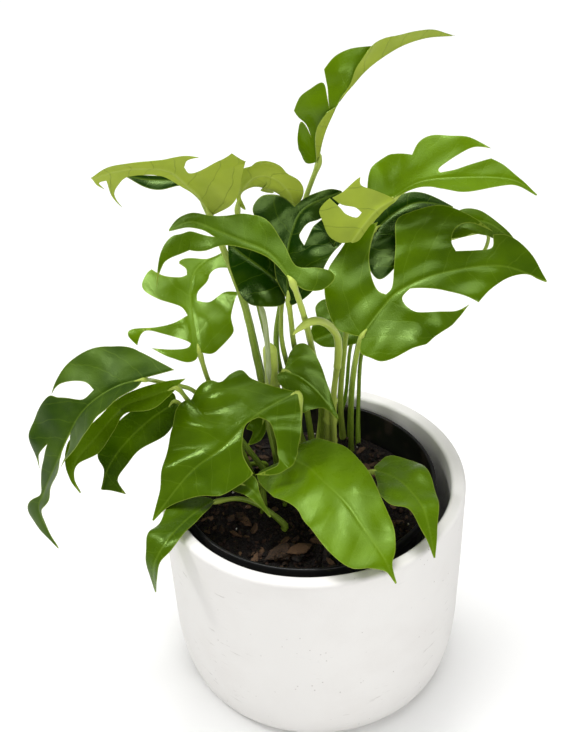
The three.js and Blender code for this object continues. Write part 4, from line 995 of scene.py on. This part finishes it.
def leafParts(tree, old, young, scale, change):
    # what both sides share: the green between old and young, changing by patches of 1 / scale
    # metres, and how much of a side vein and of the midrib there is, from 0 to 1; the side veins
    # are "veinPitch" mm apart and run as in relief, with a drift of a few millimetres
    place, youth, satin, pitch, blade = readings(
        tree, place="Object", youth="Fac", satin="Fac", veinPitch="Fac", blade="Vector")
    _, patch = cutNoise(tree, place, {"Scale": scale, "Detail": 4.0}, (0.3, 0.7),
                        (-change, change), "LINEAR")
    tone = addNode(tree, "ShaderNodeMath", {0: youth, 1: patch}, operation="ADD", use_clamp=True)
    body = addNode(tree, "ShaderNodeMix", {0: tone, 6: linear(old), 7: linear(young)},
                   data_type="RGBA")
    addNode(tree, "ShaderNodeSeparateXYZ", {0: blade})
    lengthwise, sideways, rim = tree.nodes[-1].outputs
    flat = addNode(tree, "ShaderNodeCombineXYZ", {0: lengthwise, 1: sideways})
    drift = addNode(tree, "ShaderNodeTexNoise", {"Vector": flat, "Scale": 0.09, "Detail": 2.0})
    drift = addNode(tree, "ShaderNodeMath", {0: drift, 1: 6.0, 2: -3.0}, operation="MULTIPLY_ADD")
    wide = addNode(tree, "ShaderNodeMath", {0: sideways}, operation="ABSOLUTE")
    at = wide
    for operation, sockets in (
            ("MULTIPLY_ADD", {1: veinCurve, 2: veinSlant}), ("MULTIPLY", {1: wide}),
            ("MULTIPLY_ADD", {1: -1.0, 2: lengthwise}), ("ADD", {1: drift}),
            ("DIVIDE", {1: pitch}), ("ADD", {1: 0.5}), ("FRACT", {}), ("SUBTRACT", {1: 0.5}),
            ("ABSOLUTE", {}), ("MULTIPLY", {1: pitch})):
        at = addNode(tree, "ShaderNodeMath", {0: at, **sockets}, operation=operation)
    vein, midrib = (addNode(tree, "ShaderNodeMapRange", {
        "Value": off, "From Min": core, "From Max": edge, "To Min": 1.0, "To Max": 0.0},
        interpolation_type="SMOOTHSTEP") for off, core, edge in ((at, 0.1, 0.5), (wide, 0.3, 0.95)))
    return place, satin, body, vein, midrib, rim


bladeMaterials = [leafUpper(leafLook), leafUnder(leafLook)]
for number, (name, leaf) in enumerate(leaves.items()):
    leaves[name] = leaf = {**leafDefaults, **leaf, "node": "leaf_" + name, "seed": 40 + number}
    buildLeaf("blade_" + name, leaf, bladeMaterials)
print("leaf blades made:", len(leaves))


# petioles, stems and sheaths: each route runs from its top down into the mix
stalks = {
    "stem_left": {
        "radius": 4.5, "pale": 0.3,
        "route": [(-23, 37, 220), (-22, 36, 186), (-17, 34, 147), (-14, 36, 122)],
    },
    "stem_right": {
        "radius": 4, "pale": 0.85,
        "route": [(14, 46, 172), (13, 48, 151), (13, 54, 122)],
    },
    "petiole_top": {
        "radius": 2,
        "route": [
            (9, 58.5, 331), (2, 64, 305), (-8, 62, 268), (-15, 54, 239), (-19, 46, 213),
            (-14, 48, 172), (-5, 60, 122),
        ],
    },
    "petiole_upper_right": {
        "radius": 2, "pale": 0.35,
        "route": [
            (50.5, 44, 314.5), (47, 44, 311), (39, 47, 297), (34, 50, 281), (29, 48, 251),
            (24, 47, 218), (20, 55, 165), (21, 68, 122),
        ],
    },
    "petiole_right": {
        "radius": 1.9,
        "route": [(30.5, -10.5, 256), (28, 0, 232), (26, 26, 183), (26, 53, 122)],
    },
    "petiole_behind_right": {
        "radius": 1.5,
        "route": [(42, 53, 286), (40, 62, 261), (35, 70, 212), (28, 72, 164), (26, 70, 122)],
    },
    "petiole_far_right": {
        "radius": 1.5,
        "route": [
            (87.5, 46, 287), (110, 62, 279), (107, 62, 262), (89, 62, 251), (61, 64, 243),
            (46, 70, 218), (35, 72, 187), (32, 70, 149), (31, 62, 122),
        ],
    },
    "petiole_low_right": {
        "radius": 1.5, "pale": -0.2,
        "route": [(31.5, 66.5, 210.5), (27, 70, 189), (23, 68, 151), (14, 71, 122)],
    },
    "petiole_upper_left": {
        "radius": 2.4, "pale": 0.1,
        "route": [
            (-52.5, 49.5, 304), (-49, 60, 279), (-38, 56, 239), (-32, 46, 206), (-28, 38, 181),
            (-21, 34, 122),
        ],
    },
    "petiole_upper_left_back": {
        "radius": 1.4,
        "route": [
            (-61.5, 59, 319), (-57, 66, 299), (-47, 70, 264), (-37, 66, 232), (-29, 58, 185),
            (-19, 54, 122),
        ],
    },
    "petiole_arching": {
        "radius": 1.8,
        "route": [
            (-38, 60.5, 302.5), (-38, 66, 278), (-32, 62, 251), (-26, 54, 219), (-19, 56, 166),
            (-12, 56, 122),
        ],
    },
    "petiole_centre_left": {
        "radius": 2.2, "pale": 0.4,
        "route": [(-5.5, -2, 289), (-1, 22, 250), (3, 50, 205), (8, 60, 158), (6, 63, 122)],
    },
    "petiole_centre_left_back": {
        "radius": 1.8,
        "route": [(-13.5, 31, 265), (-15, 38, 241), (-15, 40, 217), (-9, 42, 177), (-5, 45, 122)],
    },
    "petiole_centre_back": {
        "radius": 2, "pale": 0.1,
        "route": [(-10, 17.5, 264), (-9, 28, 243), (-8, 45, 213), (-3, 50, 170), (1, 57, 122)],
    },
    "petiole_left": {
        "radius": 1.9,
        "route": [(-65.5, 36, 213.5), (-61, 38, 190), (-48, 36, 155), (-28, 29, 122)],
    },
    "petiole_far_left": {
        "radius": 1.7,
        "route": [
            (-98, 12.5, 216), (-95, 24, 206), (-87, 32, 197), (-79, 33, 194), (-69, 32, 188),
            (-49, 20, 168), (-36, 22, 122),
        ],
    },
    "petiole_far_left_under": {
        "radius": 1.7,
        "route": [(-79, 17.5, 203), (-74, 26, 187), (-59, 16, 173), (-44, 6, 151), (-40, 8, 122)],
    },
    "petiole_far_left_low": {
        "radius": 1.6,
        "route": [(-80.5, 30.5, 181), (-67, 34, 156), (-47, 30, 134), (-31, 41, 122)],
    },
    "petiole_front_left": {
        "radius": 2.1, "pale": 0.2,
        "route": [(-6.5, 5.5, 200.5), (-6, 3, 195), (-8, 8, 168), (-11, 20, 122)],
    },
    "petiole_front": {
        "radius": 2,
        "route": [(-14.5, -5.5, 163), (-21, 0, 151), (-30, 2, 142), (-31, -2, 122)],
    },
    "petiole_front_right": {
        "radius": 1.7,
        "route": [(36, -12, 158), (28, -5, 150), (19, 10, 136), (14, 19, 122)],
    },
    "petiole_low_left": {
        "radius": 1.9,
        "route": [(-57, -20, 146), (-45, -15, 142), (-31, -16, 135), (-19, -17, 122)],
    },
    "petiole_small_centre": {
        "radius": 1.5,
        "route": [(-14.5, 29.5, 201.5), (-14, 27, 189), (-11, 24, 163), (-4, 27, 122)],
    },
    "petiole_small_low": {
        "radius": 1.3,
        "route": [(-42.5, -17.5, 158), (-37, -9, 152), (-28, -3, 138), (-18, 5, 122)],
    },
    "petiole_small_inner": {
        "radius": 1.2,
        "route": [(-27.5, 15, 177), (-26, 14, 172), (-23, 12, 153), (-19, 17, 122)],
    },
    "sheath_curled": {
        "radius": 1.6, "pale": 1, "fuller": 1.6,
        "route": [
            (-8, 12, 245), (-4, 14, 248), (4, 18, 250), (12, 26, 242), (18, 33, 228),
            (19, 36, 215), (18, 38, 200),
        ],
    },
    "sheath_left": {
        "radius": 1.7, "fuller": 1.6,
        "route": [(-28, 28, 260), (-25, 27, 247), (-24, 28, 226), (-24, 28, 197)],
    },
    "sheath_right": {
        "radius": 1.5, "pale": 0.9, "fuller": 1.6,
        "route": [(17, 39, 193), (15, 39, 172), (15, 42, 141)],
    },
}


stalkLook = {
    "green": "#587a06", "paleGreen": "#bccd5c", "sheathColour": "#bcc79a",
    "sheathStreak": "#8a9c52", "sides": 20, "ringScars": (14, 34, 52, 75),
}


def tube(path, radius, sides, flat):
    # a round section carried along the path: each ring stands square to it, turned from one fixed
    # direction, which is the normal of the plane that the path mostly lies in, so it can't twist
    heading = unit(np.gradient(path, axis=0))
    plane = np.linalg.svd(path - path.mean(axis=0))[2][2]
    other = unit(np.cross(heading, plane))
    side = np.cross(other, heading)
    angle = np.linspace(0, 2 * np.pi, sides, endpoint=False)[None, :, None]
    ring = side[:, None] * np.cos(angle) + other[:, None] * np.sin(angle) * flat
    grid = path[:, None] + ring * radius[:, None, None]
    ends = path[[0, -1]] + heading[[0, -1]] * (radius[[0, -1]] * (-0.5, 0.5))[:, None]
    return np.vstack([grid.reshape(-1, 3), ends]), turnedFaces(len(path), sides)


def livingStalk(look):
    # smooth and green with lengthwise streaks and pale flecks, paler where it meets the leaf
    made = newMaterial("living petiole, smooth", IOR=1.43, Roughness=0.42, Specular_IOR_Level=0.4)
    tree = made[1]
    skin, paler = readings(tree, skin="Vector", pale="Fac")
    pulled = addNode(tree, "ShaderNodeMapping", {"Vector": skin, "Scale": (0.06, 1.1, 0.0)})
    streak = addNode(tree, "ShaderNodeTexNoise", {"Vector": pulled, "Scale": 1.0, "Detail": 4.0})
    flecks = addNode(tree, "ShaderNodeMapping", {"Vector": skin, "Scale": (0.45, 1.3, 0.0)})
    flecks = addNode(tree, "ShaderNodeTexVoronoi", {"Vector": flecks, "Scale": 1.0})
    flecks = addNode(tree, "ShaderNodeMapRange", {"Value": flecks, "From Min": 0.08,
                     "From Max": 0.3, "To Min": 0.45, "To Max": 0.0})
    addNode(tree, "ShaderNodeSeparateXYZ", {0: skin})
    top = addNode(tree, "ShaderNodeMapRange", {"Value": tree.nodes[-1].outputs[2],
                  "From Max": 0.5, "To Min": 0.55, "To Max": 0.0})
    top = addNode(tree, "ShaderNodeMath", {0: top, 1: paler}, operation="ADD")
    amount = addNode(tree, "ShaderNodeMath", {0: streak, 1: 0.8, 2: -0.2}, operation="MULTIPLY_ADD")
    amount = addNode(tree, "ShaderNodeMath", {0: amount, 1: flecks}, operation="ADD")
    amount = addNode(tree, "ShaderNodeMath", {0: amount, 1: top}, operation="ADD", use_clamp=True)
    body = addNode(tree, "ShaderNodeMix", {0: amount, 6: linear(look["green"]),
                   7: linear(look["paleGreen"])}, data_type="RGBA")
    return dress(made, body, streak, 0.3, 0.5)


def drySheath(look):
    # thin papery skin that dries along its fibres, dull and streaked
    made = newMaterial("dried papery sheath", IOR=1.4, Roughness=0.7, Specular_IOR_Level=0.3)
    tree = made[1]
    skin, = readings(tree, skin="Vector")
    pulled = addNode(tree, "ShaderNodeMapping", {"Vector": skin, "Scale": (0.08, 2.2, 0.0)})
    fibre, amount = cutNoise(tree, pulled, {"Scale": 1.0, "Detail": 5.0}, (0.35, 0.7))
    body = addNode(tree, "ShaderNodeMix", {0: amount, 6: linear(look["sheathColour"]),
                   7: linear(look["sheathStreak"])}, data_type="RGBA")
    return dress(made, body, fibre, 0.6, 0.6)


def buildStalk(name, stalk, look, green, paper):
    # the radius swells at the joint below the leaf, is a little thinner above than below, and
    # widens to a clasping foot at the mix; stems carry the ring scars of old leaves, and sheaths
    # are flattened and thin out at their free ends
    kind, _, of = name.partition("_")
    route, papery = np.array(stalk["route"], dtype=float), kind == "sheath"
    if kind == "petiole":
        leaf = leaves[of]
        into = blend(np.array([7.0]), leaf["far"], leaf["line"])[0]
        below = leaf["overBase"] * stalk["radius"]
        route = np.vstack([into - 0.3 * below, leaf["line"][0] - 0.8 * below, route[1:]])
    if name == "sheath_right":  # it carries the curled one
        route = np.vstack([stalks["sheath_curled"]["route"][-1], route])
    if not papery or of == "right":
        route = np.vstack([route, route[-1] - (0, 0, 5)])
    path = evenly(through(route, 24), 1.2)
    run = farAlong(path)
    share, toGo = run / run[-1], run[-1] - run
    radius = stalk["radius"] * np.ones(len(path))
    if kind == "petiole":
        radius *= (0.78 + 0.27 * share) * (1 + 0.3 * np.exp(-((run - 10) / 4.5) ** 2))
        radius *= np.clip(0.2 + run / 9, 0, 1) * (1 + 0.3 * np.clip(1 - toGo / 20, 0, 1))
    elif kind == "stem":
        for ring in look["ringScars"]:
            radius *= 1 + 0.16 * np.exp(-((toGo - ring) / 1.6) ** 2)
        radius *= np.clip(0.5 + run / 6, 0, 1)
    else:
        start = np.ones(len(path)) if of == "right" else share
        end = 1 - share if of == "left" else np.ones(len(path))
        radius *= np.clip(0.25 + 6 * np.minimum(start, end), 0, 1) * stalk["fuller"]
    radius *= 1 + 0.03 * waves(path, 9, 5, len(path))
    flat = 0.55 if papery and of != "curled" else 0.9
    points, faces = tube(path, radius, look["sides"], flat)
    around = np.linspace(0, 2 * np.pi, look["sides"], endpoint=False) * stalk["radius"]
    skin = np.stack(np.broadcast_arrays(run[:, None], around[None], share[:, None]), -1)
    skin = np.vstack([skin.reshape(-1, 3), [[0, 0, 0], [run[-1], 0, 1]]])
    makePiece(name + ("_dry" if papery else "_living"), points, faces,
              [paper if name == "sheath_left" else green], "sheath" if papery else "petiole",
              [name], {"skin": skin, "pale": np.full(len(points), stalk.get("pale", 0.0))})


green, paper = livingStalk(stalkLook), drySheath(stalkLook)
for name, stalk in stalks.items():
    buildStalk(name, stalk, stalkLook, green, paper)
print("stalks made:", len(stalks))


# stage: white floor, an even light from above, softboxes, and the camera; metres and degrees
stage = {
    "floorColour": "#fdfdfc", "cloudColour": "#f9f9f8", "floorSize": 60.0, "roomLight": 0.3,
    "ceiling": {"at": (0.0, 0.12, 1.0), "spread": 45, "power": 1.6},
    "boxes": {
        "overhead": {"at": (0.0, 0.3, 1.6), "size": 0.4, "power": 6.0},
        "leftBox": {"at": (-1.05, 0.1, 1.3), "size": 0.28, "power": 6.8},
        "frontBox": {"at": (0.6, -1.8, 1.15), "size": 0.9, "power": 12.5},
    },
}
camera = {
    "at": (0.0, -0.7998, 0.8321), "lookDown": 40.75, "pan": 0.61, "tilt": 3.82, "roll": 2.57,
    "lens": 83.6, "sensor": 36.0,
}


def paintedFloor(look):
    # matt white paint with the faintest cloudiness
    made = newMaterial("matt white paint", Roughness=0.9, Specular_IOR_Level=0.2)
    tree = made[1]
    place, = readings(tree, place="Object")
    clouds = addNode(tree, "ShaderNodeTexNoise", {"Vector": place, "Scale": 2.0})
    return dress(made, addNode(tree, "ShaderNodeMix", {
        0: clouds, 6: linear(look["floorColour"]), 7: linear(look["cloudColour"])},
        data_type="RGBA"))


def addLamp(name, kind, place, towards, **settings):
    # a lamp that shines from its place towards a point
    lamp = bpy.data.lights.new(name, kind)
    for setting, value in settings.items():
        setattr(lamp, setting, value)
    light = bpy.data.objects.new(name, lamp)
    bpy.context.scene.collection.objects.link(light)
    back = unit(np.array(place) - towards)
    side = unit(np.cross((0.0, 1.0, 0.0), back))
    light.matrix_world = axesAt(side, np.cross(back, side), back, place)


def buildStage(look):
    half = look["floorSize"] / 2
    mesh = bpy.data.meshes.new("floor")
    mesh.from_pydata([(-half, -half, 0), (half, -half, 0), (half, half, 0), (-half, half, 0)], [],
                     [(0, 1, 2, 3)])
    floor = bpy.data.objects.new("floor", mesh)
    mesh.materials.append(paintedFloor(look))
    bpy.context.scene.collection.objects.link(floor)
    world = bpy.data.worlds.new("white room")
    world.use_nodes = True
    background = world.node_tree.nodes["Background"]
    background.inputs["Color"].default_value = (1, 1, 1, 1)
    background.inputs["Strength"].default_value = look["roomLight"]
    bpy.context.scene.world = world
    for name, box in look["boxes"].items():
        addLamp(name, "AREA", box["at"], (0, 0, 0.2), shape="SQUARE", size=box["size"],
                energy=box["power"])
    ceiling = look["ceiling"]
    addLamp("ceiling", "SUN", ceiling["at"], (0, 0, 0), energy=ceiling["power"],
            angle=math.radians(ceiling["spread"]))


def axesAt(x, y, z, place):
    # a pose from three axes and a place
    pose = np.eye(4)
    pose[:3] = np.column_stack([x, y, z, place])
    return Matrix(pose.tolist())


def turnVector(vector, axis, degrees):
    # rotates a vector about an axis (Rodrigues' formula)
    a = math.radians(degrees)
    return (vector * math.cos(a) + np.cross(axis, vector) * math.sin(a)
            + axis * np.dot(axis, vector) * (1 - math.cos(a)))


def buildCamera(look):
    down = math.radians(look["lookDown"])
    ahead, right = np.array([0, math.cos(down), -math.sin(down)]), np.array([1.0, 0, 0])
    up = np.cross(right, ahead)
    upright = np.array([0, 0, 1.0])
    ahead, right, up = (turnVector(v, upright, look["pan"]) for v in (ahead, right, up))
    ahead, up = (turnVector(v, right, look["tilt"]) for v in (ahead, up))
    right, up = (turnVector(v, ahead, look["roll"]) for v in (right, up))
    data = bpy.data.cameras.new("camera")
    data.lens, data.sensor_width, data.sensor_fit = look["lens"], look["sensor"], "AUTO"
    data.clip_end = 50
    eye = bpy.data.objects.new("camera", data)
    bpy.context.scene.collection.objects.link(eye)
    eye.matrix_world = axesAt(right, up, -ahead, look["at"])
    bpy.context.scene.camera = eye


buildStage(stage)
buildCamera(camera)
bpy.context.scene.view_settings.view_transform = "Standard"
print("stage made")
